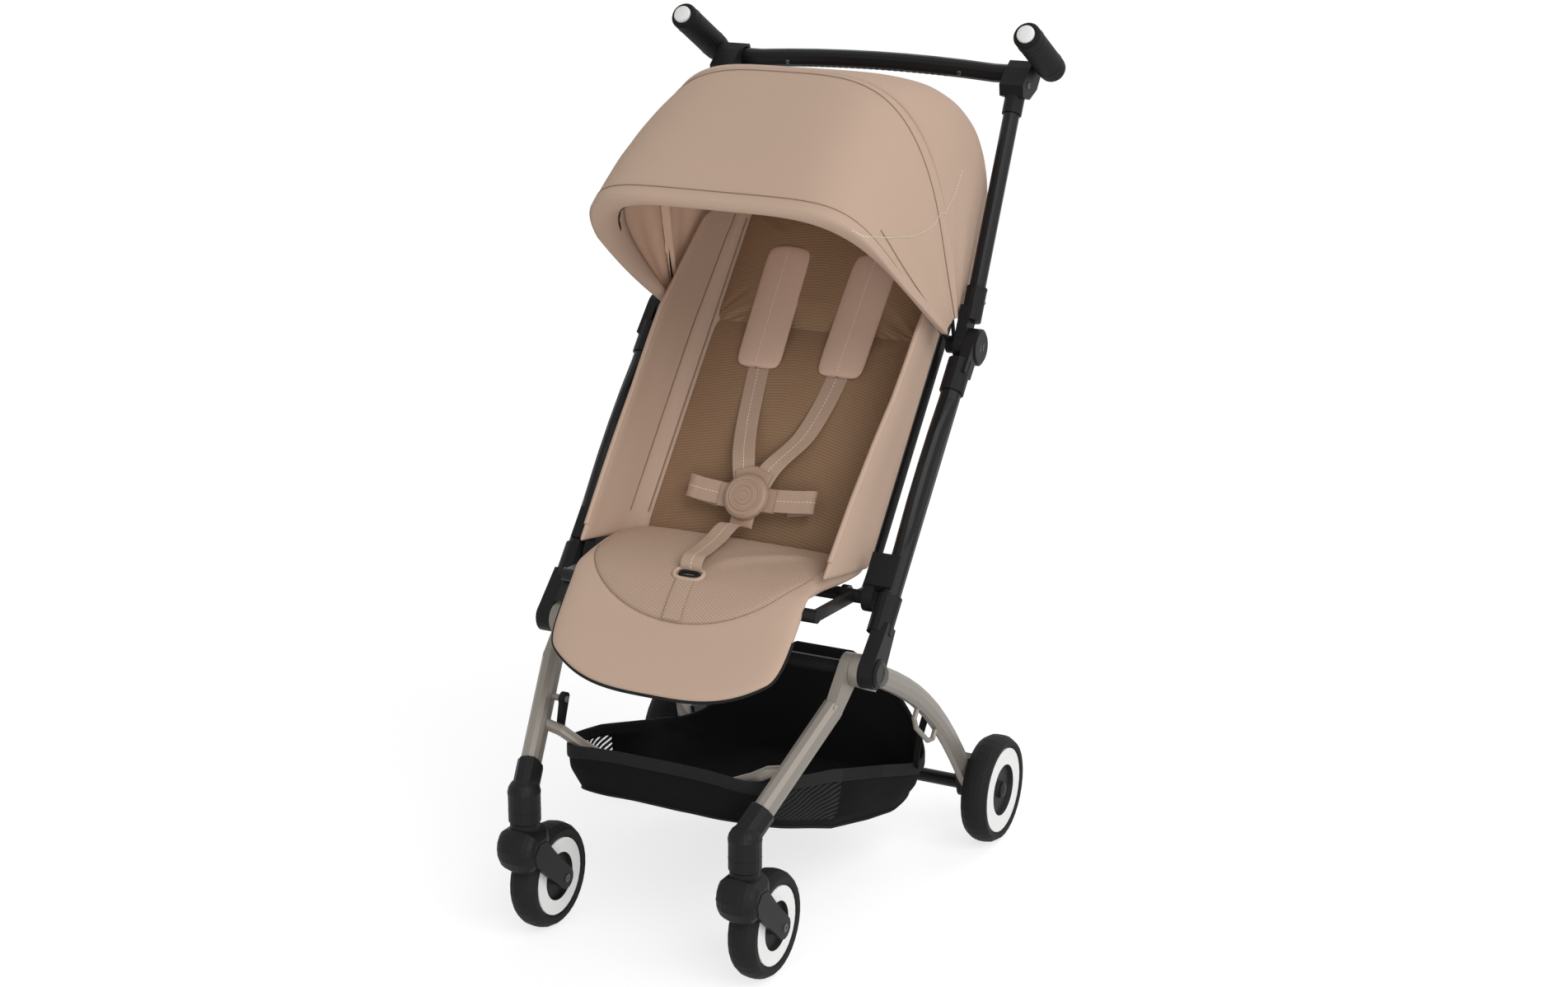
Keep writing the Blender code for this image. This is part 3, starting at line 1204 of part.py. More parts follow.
def harness():
    """Shoulder pads, the five straps with the plate that joins them, the buckle and its button."""
    axis = Vector((0, *turn(BUCKLE_TILT)))
    down = Vector((0, *turn(BUCKLE_TILT + 90)))
    plate_out = -BUCKLE_HALF_THICKNESS - GAP
    centre = buckle_point(0.0, 0.0)
    outline = [(STRAP_PLATE_RADIUS, plate_out - STRAP_PLATE_THICKNESS), (STRAP_PLATE_RADIUS, plate_out)]
    webbing = revolve("harness_webbing", outline, centre, axis, 20, tan_fabric())
    middle = buckle_point(0.0, plate_out - 0.5 * STRAP_PLATE_THICKNESS)
    for side in (1, -1):
        word = side_name(side)
        low, high = PAD_SPAN
        shoulder = [
            middle + Vector((side * 0.006, 0, 0)) - down * 0.006,
            middle + Vector((side * 0.014, 0, 0)) - down * 0.030,
            back_point(side * 0.040, 0.150, 0.020),
            back_point(side * 0.0520, low - 0.020, STRAP_LIFT + 0.002),
            back_point(side * PAD_X[0], low + 0.010, STRAP_LIFT),
            back_point(side * PAD_X[1], high - 0.004, STRAP_LIFT),
        ]
        combine(webbing, strap("shoulder_strap_" + word, shoulder), "UNION")
        waist = [
            middle + Vector((side * 0.008, 0, 0)),
            middle + Vector((side * 0.040, 0.000, 0.002)),
            middle + Vector((side * 0.076, 0.003, 0.005)),
            middle + Vector((side * 0.0845, 0.007, 0.0045)),
            middle + Vector((side * 0.0830, 0.0125, 0.0010)),
            middle + Vector((side * 0.070, 0.0150, -0.003)),
            middle + Vector((side * 0.045, 0.0175, -0.008)),
        ]
        combine(webbing, strap("waist_strap_" + word, waist, -down), "UNION")
        shoulder_pad(side)
    crotch = [
        middle + down * 0.006,
        middle + down * 0.030,
        Vector((0, CROTCH_SLOT_Y + 0.065, 0.4600)),
        Vector((0, CROTCH_SLOT_Y + 0.022, 0.4520)),
        Vector((0, CROTCH_SLOT_Y + 0.004, 0.4485)),
        Vector((0, CROTCH_SLOT_Y, 0.4420)),
        Vector((0, CROTCH_SLOT_Y, 0.4080)),
    ]
    combine(webbing, strap("crotch_strap", crotch), "UNION")
    buckle(centre, axis)


def shoulder_pad(side):
    """A padded sleeve over the shoulder strap, seen from outside as a flat cushion."""
    low, high = PAD_SPAN
    rows = 10
    rings = []
    for i in range(rows + 1):
        share = i / rows
        bulge = max(0.25, (1 - (2 * share - 1) ** 8) ** 0.5)
        x = side * (PAD_X[0] + (PAD_X[1] - PAD_X[0]) * share)
        width = PAD_HALF_WIDTH * (0.80 + 0.20 * bulge)
        up = low + (high - low) * share
        ring = superellipse(width, PAD_HALF_THICKNESS * bulge, 16, 0.6)
        rings.append([back_point(x + a, up, PAD_LIFT + b) for a, b in ring])
    loft("shoulder_pad_" + side_name(side), rings, tan_fabric())


def buckle(centre, axis):
    """The round buckle, with a well for its push button."""
    half = BUCKLE_HALF_THICKNESS
    outline = [
        (BUCKLE_RADIUS - 0.0040, -half), (BUCKLE_RADIUS - 0.0010, -half + 0.0030), (BUCKLE_RADIUS, 0.0),
        (BUCKLE_RADIUS - 0.0015, 0.6 * half), (BUCKLE_RADIUS - 0.0050, half),
    ]
    body = revolve("buckle", outline, centre, axis, 28, tan_fabric())
    floor = -0.5 * half
    start = centre + axis * floor
    well = rod("buckle_well", start, centre + axis * (half + 0.01), BUCKLE_BUTTON_RADIUS + GAP, 24)
    combine(body, well, "DIFFERENCE")
    low = floor + BUCKLE_BUTTON_TRAVEL + GAP
    button = [
        (BUCKLE_BUTTON_RADIUS, low), (BUCKLE_BUTTON_RADIUS, half + 0.0006),
        (BUCKLE_BUTTON_RADIUS - 0.0010, half + 0.0014), (0.5 * BUCKLE_BUTTON_RADIUS, half + 0.0018),
        (0.0, half + 0.0020),
    ]
    revolve("buckle_button", button, centre, axis, 24, tan_fabric())


def basket_floor(y):
    """The height of the basket's floor: level, and rising to its front edge."""
    share = max(0.0, (0.5 * (BASKET_FRONT_Y + BASKET_REAR_Y) - 0.02 - y) / (0.5 * (BASKET_REAR_Y - BASKET_FRONT_Y)))
    return BASKET_FLOOR_Z + BASKET_FLOOR_RISE * min(1.0, share) ** 1.4


def basket():
    """An open cloth bin: rings that grow over the floor, then rise up the walls to a rim that follows a table."""
    y_mid = 0.5 * (BASKET_FRONT_Y + BASKET_REAR_Y)
    y_half = 0.5 * (BASKET_REAR_Y - BASKET_FRONT_Y)

    def ring(spread, share, inset):
        """One ring of points: its spread over the floor, its share of the walls' height, and its inset."""
        points = []
        lean = 0.86 + 0.14 * share
        for a, b in superellipse(1.0, 1.0, 32, 0.45):
            x = (BASKET_HALF_WIDTH * lean - inset) * a * spread
            y = y_mid + (y_half * (0.93 + 0.07 * share) - inset) * b * spread
            bottom = basket_floor(y) + inset
            rim = table_value(BASKET_RIM, y) - BASKET_FRONT_DIP * (1 - abs(a)) * max(0.0, -b)
            points.append(Vector((x, y, bottom + (rim - bottom) * share)))
        return points

    floor, walls = (0.10, 0.45, 0.75), (0.0, 0.12, 0.55, 1.0)
    outer = [ring(spread, 0.0, 0.0) for spread in floor] + [ring(1.0, share, 0.0) for share in walls]
    inner = [ring(1.0, share, BASKET_WALL) for share in reversed(walls)]
    inner += [ring(spread, 0.0, BASKET_WALL) for spread in reversed(floor)]
    loft("basket", outer + inner, dark_fabric())


def set_origin(name, point):
    """Put an object's origin on its joint, with its shape left where it is."""
    obj = bpy.data.objects[name]
    obj.data.transform(Matrix.Translation(-Vector(point)))
    obj.location = point


def place_origins():
    """Give each moving piece its origin on the axis that it turns or slides on."""
    front_bar = along(SEAT_PIVOT, SEAT_ANGLE, SEAT_DEPTH)
    on_middle = {
        "leg_rest": front_bar, "seat_frame": SEAT_PIVOT, "seat_cushion": SEAT_PIVOT, "backrest_frame": SEAT_PIVOT,
        "backrest_cushion": SEAT_PIVOT, "crossbar": hinge_pivot(), "canopy_main_bow": hinge_pivot(),
        "canopy_rear_panel": hinge_pivot(), "canopy_front_bow": hinge_pivot(),
        "canopy_front_panel": hinge_pivot(), "rear_axle_tube": HUB, "brake_pedal": REAR_WHEEL, "buckle": HUB,
        "harness_webbing": HUB, "buckle_button": BUCKLE_CENTRE,
    }
    for name, (y, z) in on_middle.items():
        set_origin(name, (0.0, y, z))
    on_sides = {
        "rear_leg": HUB, "rear_foot": HUB, "hub_socket": HUB, "lower_tube": HUB, "hinge_outer": HUB,
        "seat_clamp": HUB, "hinge_inner": hinge_pivot(), "upper_tube": hinge_pivot(),
        "handle_bracket": hinge_pivot(), "grip": hinge_pivot(), "shoulder_pad": SEAT_PIVOT,
        "grip_button": grip_centre(),
    }
    for side in (1, -1):
        word = side_name(side)
        for name, (y, z) in on_sides.items():
            set_origin(f"{name}_{word}", (side * PUSH_X, y, z))
        foot = caster_foot(side)
        set_origin("caster_fork_" + word, foot)
        wheel_y, wheel_z = foot.y + FRONT_WHEEL_TRAIL, FRONT_WHEEL["radius"]
        for piece in ("tyre", "rim"):
            set_origin(f"front_wheel_{word}_{piece}", (foot.x, wheel_y, wheel_z))
            set_origin(f"rear_wheel_{word}_{piece}", (side * REAR_WHEEL_X, *REAR_WHEEL))
    set_origin("fold_hook", front_leg_point(-1, HOOK_DISTANCE))


def main():
    """Build the whole stroller."""
    clear_scene()
    front_legs()
    hub_hardware()
    latch_block()
    front_brace()
    casters()
    rear_legs()
    brake_pedal()
    push_tubes()
    handle()
    seat_frame()
    fold_hook()
    canopy()
    seat_cushion()
    back_rest()
    leg_rest()
    harness()
    basket()
    place_origins()


main()
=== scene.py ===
"""The dressed travel stroller: cloth, padding, webbing, trim and finishes, with its camera and studio.

Metres, +Z up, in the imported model's own frame. The stroller faces -Y, and +X is the sitter's left side.
A side is 1 for +X and -1 for -X. "up" and "out" are distances along and out from the back's front face.
"""

from __future__ import annotations

import json
import logging
import math
from collections.abc import Sequence
from dataclasses import dataclass
from enum import Enum
from typing import ClassVar

import bmesh
import bpy
import numpy as np
from mathutils import Matrix, Vector

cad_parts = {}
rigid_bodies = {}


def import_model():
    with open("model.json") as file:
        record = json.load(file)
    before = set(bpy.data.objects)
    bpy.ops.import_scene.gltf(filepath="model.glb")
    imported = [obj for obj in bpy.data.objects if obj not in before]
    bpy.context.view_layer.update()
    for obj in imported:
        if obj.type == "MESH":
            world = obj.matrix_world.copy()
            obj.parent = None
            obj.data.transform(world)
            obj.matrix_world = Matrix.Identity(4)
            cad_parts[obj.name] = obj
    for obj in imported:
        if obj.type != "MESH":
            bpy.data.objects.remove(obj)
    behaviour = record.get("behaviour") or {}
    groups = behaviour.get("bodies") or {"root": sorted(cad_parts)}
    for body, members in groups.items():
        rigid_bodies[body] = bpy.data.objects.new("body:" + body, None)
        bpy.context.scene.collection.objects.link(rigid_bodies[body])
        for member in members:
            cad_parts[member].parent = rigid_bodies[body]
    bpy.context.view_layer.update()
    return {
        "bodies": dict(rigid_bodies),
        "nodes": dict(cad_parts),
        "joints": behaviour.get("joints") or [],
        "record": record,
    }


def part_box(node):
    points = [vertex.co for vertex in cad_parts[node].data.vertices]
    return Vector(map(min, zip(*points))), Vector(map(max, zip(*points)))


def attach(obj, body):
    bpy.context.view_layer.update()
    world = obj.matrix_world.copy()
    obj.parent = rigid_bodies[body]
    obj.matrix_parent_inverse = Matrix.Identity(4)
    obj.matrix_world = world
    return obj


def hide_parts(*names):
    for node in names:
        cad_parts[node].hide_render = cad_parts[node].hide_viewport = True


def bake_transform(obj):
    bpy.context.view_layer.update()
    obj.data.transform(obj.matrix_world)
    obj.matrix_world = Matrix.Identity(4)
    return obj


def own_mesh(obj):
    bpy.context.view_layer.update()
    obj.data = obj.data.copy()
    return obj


LOG = logging.getLogger("stroller")
Colour = tuple[float, float, float]
Pair = tuple[float, float]
Piece = bpy.types.Object
Material = bpy.types.Material
SIDES = (1, -1)
WORDS = {1: "left", -1: "right"}


# Points and curves


def turn(angle: float) -> np.ndarray:
    """The (y, z) unit vector at an angle in degrees above +Y."""
    return np.array([math.cos(math.radians(angle)), math.sin(math.radians(angle))])


def way(angle: float) -> np.ndarray:
    """The unit vector in the side view at an angle in degrees above +Y."""
    return np.array([0.0, *turn(angle)])


def along(start: Sequence[float], angle: float, distance, aside=0.0) -> np.ndarray:
    """Points at a distance from start at an angle, moved aside to the left of that direction.

    Args:
        start: the (y, z) point to start from.
        angle: degrees above +Y.
        distance: how far, as a number or an array.
        aside: how far to the left, as a number or an array.

    Returns:
        (y, z) in the last axis.
    """
    c, s = turn(angle)
    distance, aside = np.broadcast_arrays(np.asarray(distance, float), np.asarray(aside, float))
    return np.stack([start[0] + distance * c - aside * s, start[1] + distance * s + aside * c], axis=-1)


def join_x(x, side_view: np.ndarray) -> np.ndarray:
    """Put x in front of (y, z) points."""
    x = np.broadcast_to(np.asarray(x, float), side_view.shape[:-1])
    return np.concatenate([x[..., None], side_view], axis=-1)


def smooth_curve(points: Sequence, count: int) -> np.ndarray:
    """Points evenly spread along a smooth curve through the given ones.

    Each span is a cubic Hermite blend, with the chord-weighted mean of the slopes on both sides as tangents.

    Args:
        points: the points that the curve passes through.
        count: how many points to return.

    Returns:
        An array of count rows.
    """
    p = np.asarray(points, float)
    t = np.concatenate([[0.0], np.cumsum(np.linalg.norm(np.diff(p, axis=0), axis=1))])
    gaps = np.diff(t)[:, None]
    slope = np.diff(p, axis=0) / gaps
    inner = (slope[:-1] * gaps[1:] + slope[1:] * gaps[:-1]) / (gaps[1:] + gaps[:-1])
    tangent = np.concatenate([slope[:1], inner, slope[-1:]])
    at = np.linspace(0.0, t[-1], count)
    k = np.clip(np.searchsorted(t, at, side="right") - 1, 0, len(p) - 2)
    h = (t[k + 1] - t[k])[:, None]
    u = (at - t[k])[:, None] / h
    return (
        (2 * u**3 - 3 * u**2 + 1) * p[k] + (u**3 - 2 * u**2 + u) * h * tangent[k]
        + (3 * u**2 - 2 * u**3) * p[k + 1] + (u**3 - u**2) * h * tangent[k + 1]
    )


def smooth_columns(grid: np.ndarray, count: int) -> np.ndarray:
    """Resample the second axis of a grid of points by Catmull-Rom blending of four neighbours.

    Args:
        grid: points as (rows, columns, n).
        count: how many columns to return.

    Returns:
        Points as (rows, count, n).
    """
    last = grid.shape[1] - 1
    at = np.linspace(0.0, last, count)
    k = np.minimum(at.astype(int), last - 1)
    u = (at - k)[None, :, None]
    a, b = grid[:, np.maximum(k - 1, 0)], grid[:, k]
    c, d = grid[:, k + 1], grid[:, np.minimum(k + 2, last)]
    return b + 0.5 * u * (c - a + u * (2 * a - 5 * b + 4 * c - d + u * (3 * (b - c) + d - a)))


def arc_lengths(points: np.ndarray, axis: int = 0) -> np.ndarray:
    """The running length along one axis of an array of points: the sum of the steps before each."""
    steps = np.linalg.norm(np.diff(points, axis=axis), axis=-1)
    first = np.zeros_like(np.take(steps, [0], axis=axis))
    return np.cumsum(np.concatenate([first, steps], axis=axis), axis=axis)


def grid_area(grid: np.ndarray) -> float:
    """The area of a grid of points: the sum of its cells, each from its two first sides."""
    down, across = grid[1:, :-1] - grid[:-1, :-1], grid[:-1, 1:] - grid[:-1, :-1]
    return float(np.linalg.norm(np.cross(down, across), axis=-1).sum())


def frames(path: np.ndarray, across: Sequence[float]) -> tuple[np.ndarray, np.ndarray, np.ndarray]:
    """Tangent, side and up vectors along a path: side is across made square to the tangent."""
    tangent = np.gradient(path, axis=0)
    tangent /= np.linalg.norm(tangent, axis=1, keepdims=True)
    across = np.broadcast_to(np.asarray(across, float), path.shape)
    side = across - tangent * np.sum(across * tangent, axis=1, keepdims=True)
    side /= np.linalg.norm(side, axis=1, keepdims=True)
    return tangent, side, np.cross(tangent, side)


NOISE_MIXES = (
    (1.0, 0.6, 0.4, 0.3), (-0.7, 1.3, 0.9, 1.9), (1.7, -0.9, 1.4, 4.1), (0.4, 2.1, -1.6, 2.7),
    (2.3, 1.1, 2.2, 5.3),
)


def soft_noise(*coords: np.ndarray) -> np.ndarray:
    """Smooth repeatable unevenness from -1 to 1: a mean of five sines of mixed slant, pace and phase."""
    total = 0.0
    for *paces, phase in NOISE_MIXES:
        total = total + np.sin(sum(pace * c for pace, c in zip(paces, coords)) + phase)
    return total / len(NOISE_MIXES)


def signed_power(values: np.ndarray, power) -> np.ndarray:
    """A power of each value's size, with its sign kept."""
    return np.sign(values) * np.abs(values) ** power


def toward_ends(count: int) -> np.ndarray:
    """Numbers from -1 to 1, closer together near both ends."""
    return np.sin(0.5 * np.pi * np.linspace(-1, 1, count))


def round_places(count: int) -> np.ndarray:
    """Angles once round a circle, without the last that would meet the first."""
    return np.linspace(0, 2 * np.pi, count + 1)[:-1]


def half_step_places(count: int) -> np.ndarray:
    """Angles once round a circle, that start half a step in."""
    return 2 * np.pi * (np.arange(count) + 0.5) / count


def superellipse(half_a: float, half_b: float, sides: int, power: float) -> np.ndarray:
    """Points of a rounded rectangle: each coordinate is a power of cosine or sine, with its sign kept."""
    t = half_step_places(sides)
    c, s = np.cos(t), np.sin(t)
    return np.stack([half_a * signed_power(c, power), half_b * signed_power(s, power)], axis=-1)


# Meshes


def quads(rows: int, columns: int, wrap_rows: bool = False, wrap_columns: bool = False) -> np.ndarray:
    """The quads of a grid: each cell's four corner numbers, going round it."""
    down = np.arange(rows if wrap_rows else rows - 1)
    across = np.arange(columns if wrap_columns else columns - 1)
    i, j = np.meshgrid(down, across, indexing="ij")
    k, m = (i + 1) % rows, (j + 1) % columns
    corners = [i * columns + j, i * columns + m, k * columns + m, k * columns + j]
    return np.stack(corners, axis=-1).reshape(-1, 4)


def make_mesh(
    name: str, points: np.ndarray, faces: Sequence, cloth: np.ndarray | None = None, merge: bool = False
) -> Piece:
    """A smooth mesh object with outward faces.

    Args:
        name: the object's name.
        points: vertices, in any grid shape with x, y, z last.
        faces: the corner numbers of each face.
        cloth: cloth coordinates in metres for each vertex, kept as the UV map.
        merge: join points that lie together.

    Returns:
        The new object, linked to the scene.
    """
    mesh = bpy.data.meshes.new(name)
    mesh.from_pydata(points.reshape(-1, 3).tolist(), [], [list(map(int, face)) for face in faces])
    if cloth is not None:
        corner = np.empty(len(mesh.loops), np.int32)
        mesh.loops.foreach_get("vertex_index", corner)
        layer = mesh.uv_layers.new(name="cloth")
        layer.data.foreach_set("uv", cloth.reshape(-1, 2)[corner].astype(np.float32).ravel())
    edit = bmesh.new()
    edit.from_mesh(mesh)
    if merge:
        bmesh.ops.remove_doubles(edit, verts=edit.verts, dist=1e-6)
    bmesh.ops.recalc_face_normals(edit, faces=edit.faces)
    edit.to_mesh(mesh)
    edit.free()
    mesh.shade_smooth()
    obj = bpy.data.objects.new(name, mesh)
    bpy.context.scene.collection.objects.link(obj)
    return obj


def sheet_mesh(
    name: str, grid: np.ndarray, thickness: float, wrap: bool = False, keep: np.ndarray | None = None
) -> Piece:
    """A sheet of cloth over a grid of points, given its thickness by Solidify on the inner side.

    Args:
        name: the object's name.
        grid: points as (rows, columns, 3).
        thickness: the cloth's thickness.
        wrap: join the last column to the first.
        keep: a true or false for each quad, to leave some out.

    Returns:
        The object.
    """
    cloth = np.stack([arc_lengths(grid, 1), arc_lengths(grid, 0)], axis=-1)
    faces = quads(*grid.shape[:2], wrap_columns=wrap)
    obj = make_mesh(name, grid, faces if keep is None else faces[keep], cloth)
    solid = obj.modifiers.new("thickness", "SOLIDIFY")
    solid.thickness = thickness
    solid.offset = -1
    solid.use_even_offset = True
    return obj


def shell_mesh(name: str, front: np.ndarray, back: np.ndarray) -> Piece:
    """A closed form between two grids of points, joined along their borders.

    The strips between the borders use the same vertices, and points that lie together are merged.
    """
    rows, columns = front.shape[:2]
    count = rows * columns
    edge = np.concatenate([
        np.arange(columns), np.arange(1, rows) * columns + columns - 1,
        (rows - 1) * columns + np.arange(columns - 2, -1, -1), np.arange(rows - 2, 0, -1) * columns,
    ])
    after = np.roll(edge, -1)
    strip = np.stack([edge, after, after + count, edge + count], axis=-1)
    faces = np.concatenate([quads(rows, columns), quads(rows, columns)[:, ::-1] + count, strip])
    lengths = np.stack([arc_lengths(front, 1), arc_lengths(front, 0)], axis=-1)
    lengths -= lengths[:, columns // 2, None, :] * np.array([1.0, 0.0])
    obj = make_mesh(name, np.stack([front, back]), faces, np.stack([lengths, lengths]), merge=True)
    tidy = bmesh.new()
    tidy.from_mesh(obj.data)
    bmesh.ops.dissolve_degenerate(tidy, edges=tidy.edges, dist=1e-7)
    tidy.to_mesh(obj.data)
    tidy.free()
    obj.data.shade_smooth()
    return obj


def sweep_mesh(
    name: str, path: np.ndarray, ring: np.ndarray, across: Sequence[float] = (1, 0, 0), closed: bool = False
) -> Piece:
    """A profile carried along a path, with flat ends.

    Args:
        name: the object's name.
        path: points as (n, 3).
        ring: the profile's (a, b) pairs; a runs along across and b is square to it and the path.
        across: one direction, or one for each point.
        closed: join the last point to the first.

    Returns:
        The object.
    """
    _, side, up = frames(path, across)
    grid = path[:, None] + side[:, None] * ring[None, :, :1] + up[:, None] * ring[None, :, 1:]
    rows, columns = grid.shape[:2]
    faces = quads(rows, columns, wrap_rows=closed, wrap_columns=True).tolist()
    if not closed:
        faces += [list(range(columns)), list(range((rows - 1) * columns, rows * columns))]
    run = np.broadcast_to(arc_lengths(path)[:, None], (rows, columns))
    width = np.broadcast_to(ring[None, :, 0], (rows, columns))
    obj = make_mesh(name, grid, faces, np.stack([width, run], axis=-1))
    obj.data.set_sharp_from_angle(angle=math.radians(50))
    return obj


def tube_mesh(name: str, path: np.ndarray, radius: float, closed: bool = False, sides: int = 10) -> Piece:
    """A round cord of one radius along a path, for piping and seams."""
    spread = np.ptp(path, axis=0)
    across = np.eye(3)[int(np.argmin(spread))] + np.array([0.013, 0.017, 0.011])
    return sweep_mesh(name, path, superellipse(radius, radius, sides, 1.0), across, closed)


def turned_mesh(
    name: str, outline: Sequence[Pair], centre: Sequence[float], axis: Sequence[float], sides: int = 32
) -> Piece:
    """A turned form: an outline of (radius, height) carried round an axis, with its ends filled."""
    axis = np.asarray(axis, float) / np.linalg.norm(axis)
    first = np.cross(axis, (0, 0, 1) if abs(axis[2]) < 0.9 else (0, 1, 0))
    first /= np.linalg.norm(first)
    second = np.cross(axis, first)
    outline = np.asarray(outline, float)
    t = half_step_places(sides)
    spoke = np.cos(t)[:, None] * first + np.sin(t)[:, None] * second
    grid = np.asarray(centre) + outline[:, :1, None] * spoke[None] + outline[:, 1:, None] * axis
    rows = len(outline)
    faces = quads(rows, sides, wrap_columns=True).tolist()
    faces += [list(range(sides)), list(range((rows - 1) * sides, rows * sides))]
    obj = make_mesh(name, grid, faces)
    obj.data.set_sharp_from_angle(angle=math.radians(35))
    return obj


THREAD_HALVES = (0.00040, 0.00022)
THREAD_TAPER = 0.85
BLOCK_FACES = np.array([(0, 1, 3, 2), (4, 6, 7, 5), (0, 4, 5, 1), (2, 3, 7, 6), (0, 2, 6, 4), (1, 5, 7, 3)])


def stitch_mesh(
    name: str, path: np.ndarray, normal, pitch: float = 0.0048, length: float = 0.0032, lift: float = 0.0004
) -> Piece:
    """A row of stitches: short flat bars at even steps along a path, a little above the surface.

    Each bar's corners are its middle, plus or minus half its length, width and height along the path's frame.
    """
    run = arc_lengths(path)
    at = np.arange(0.5 * pitch, run[-1], pitch)
    middle = np.stack([np.interp(at, run, path[:, i]) for i in range(3)], axis=-1)
    normal = np.broadcast_to(np.asarray(normal, float), path.shape)
    tangent, _, _ = frames(path, normal)
    out = np.stack([np.interp(at, run, normal[:, i]) for i in range(3)], axis=-1)
    ahead = np.stack([np.interp(at, run, tangent[:, i]) for i in range(3)], axis=-1)
    out /= np.linalg.norm(out, axis=1, keepdims=True)
    side = np.cross(ahead, out)
    corners = np.array([(l, w, h) for l in (-1, 1) for w in (-1, 1) for h in (-1, 1)], float)
    halves = np.array([0.5 * length, *THREAD_HALVES])
    size = corners * halves * np.where(corners[:, 2:] > 0, THREAD_TAPER, 1.0)
    grid = (
        middle[:, None] + ahead[:, None] * size[None, :, :1] + side[:, None] * size[None, :, 1:2]
        + out[:, None] * (size[None, :, 2:] + lift)
    )
    faces = (BLOCK_FACES[None] + 8 * np.arange(len(at))[:, None, None]).reshape(-1, 4)
    return make_mesh(name, grid, faces)


def plump(obj: Piece, pinned: np.ndarray, cap: float, pressure: float = 4.0) -> None:
    """Swell a closed pad with Blender's cloth, its seams pinned, and keep the swollen shape.

    Each point moves by the cloth's result, shortened to the cap.

    Args:
        obj: the pad.
        pinned: how firmly each vertex is held, from 0 to 1.
        cap: the farthest that a point may move.
        pressure: the air pressure inside.
    """
    before = read_points(obj)
    group = obj.vertex_groups.new(name="seams")
    for weight in np.unique(np.round(pinned, 2)):
        if weight > 0:
            group.add(np.nonzero(np.round(pinned, 2) == weight)[0].tolist(), float(weight), "REPLACE")
    cloth = obj.modifiers.new("swell", "CLOTH")
    settings = cloth.settings
    settings.quality = 6
    settings.mass = 0.2
    settings.tension_stiffness = settings.compression_stiffness = 12.0
    settings.bending_stiffness = 1.5
    settings.use_pressure = True
    settings.uniform_pressure_force = pressure
    settings.vertex_group_mass = group.name
    settings.effector_weights.gravity = 0.0
    cloth.collision_settings.use_collision = False
    scene = bpy.context.scene
    for frame in range(1, 21):
        scene.frame_set(frame)
    shape = obj.evaluated_get(bpy.context.evaluated_depsgraph_get())
    swollen = np.empty(len(before) * 3, np.float32)
    shape.data.vertices.foreach_get("co", swollen)
    obj.modifiers.remove(cloth)
    scene.frame_set(1)
    move = swollen.reshape(-1, 3) - before
    far = np.linalg.norm(move, axis=1, keepdims=True)
    write_points(obj, before + move * np.minimum(1.0, cap / np.maximum(far, 1e-9)))


def read_points(obj: Piece) -> np.ndarray:
    """The vertices of a mesh object, as (n, 3)."""
    flat = np.empty(len(obj.data.vertices) * 3, np.float32)
    obj.data.vertices.foreach_get("co", flat)
    return flat.reshape(-1, 3).astype(float)


def write_points(obj: Piece, points: np.ndarray) -> None:
    """Put vertices back into a mesh object."""
    obj.data.vertices.foreach_set("co", points.astype(np.float32).ravel())
    obj.data.update()


def refine(obj: Piece, levels: int = 1) -> None:
    """Round an object with Subdivision Surface, the same in the viewport and the render."""
    modifier = obj.modifiers.new("round", "SUBSURF")
    modifier.levels = modifier.render_levels = levels


def bake_modifiers(obj: Piece) -> None:
    """Replace an object's mesh by what its modifiers make of it."""
    shape = obj.evaluated_get(bpy.context.evaluated_depsgraph_get())
    mesh = bpy.data.meshes.new_from_object(shape)
    obj.modifiers.clear()
    obj.data = mesh


# Shader maths


class Signal:
    """A shader socket's value, with Python's operators adding Math nodes."""

    def __init__(self, graph: Graph, socket: bpy.types.NodeSocket) -> None:
        """Wrap a socket of a graph."""
        self.graph = graph
        self.socket = socket

    def __add__(self, other: Signal | float) -> Signal:
        """This value plus another."""
        return self.graph.maths("ADD", self, other)

    def __sub__(self, other: Signal | float) -> Signal:
        """This value less another."""
        return self.graph.maths("SUBTRACT", self, other)

    def __mul__(self, other: Signal | float) -> Signal:
        """This value times another."""
        return self.graph.maths("MULTIPLY", self, other)

    def __pow__(self, other: float) -> Signal:
        """This value to a power."""
        return self.graph.maths("POWER", self, other)

    def __gt__(self, other: float) -> Signal:
        """1 where this value is greater, else 0."""
        return self.graph.maths("GREATER_THAN", self, other)

    def cosine(self) -> Signal:
        """The cosine of this value in radians."""
        return self.graph.maths("COSINE", self)

    def size(self) -> Signal:
        """This value without its sign."""
        return self.graph.maths("ABSOLUTE", self)


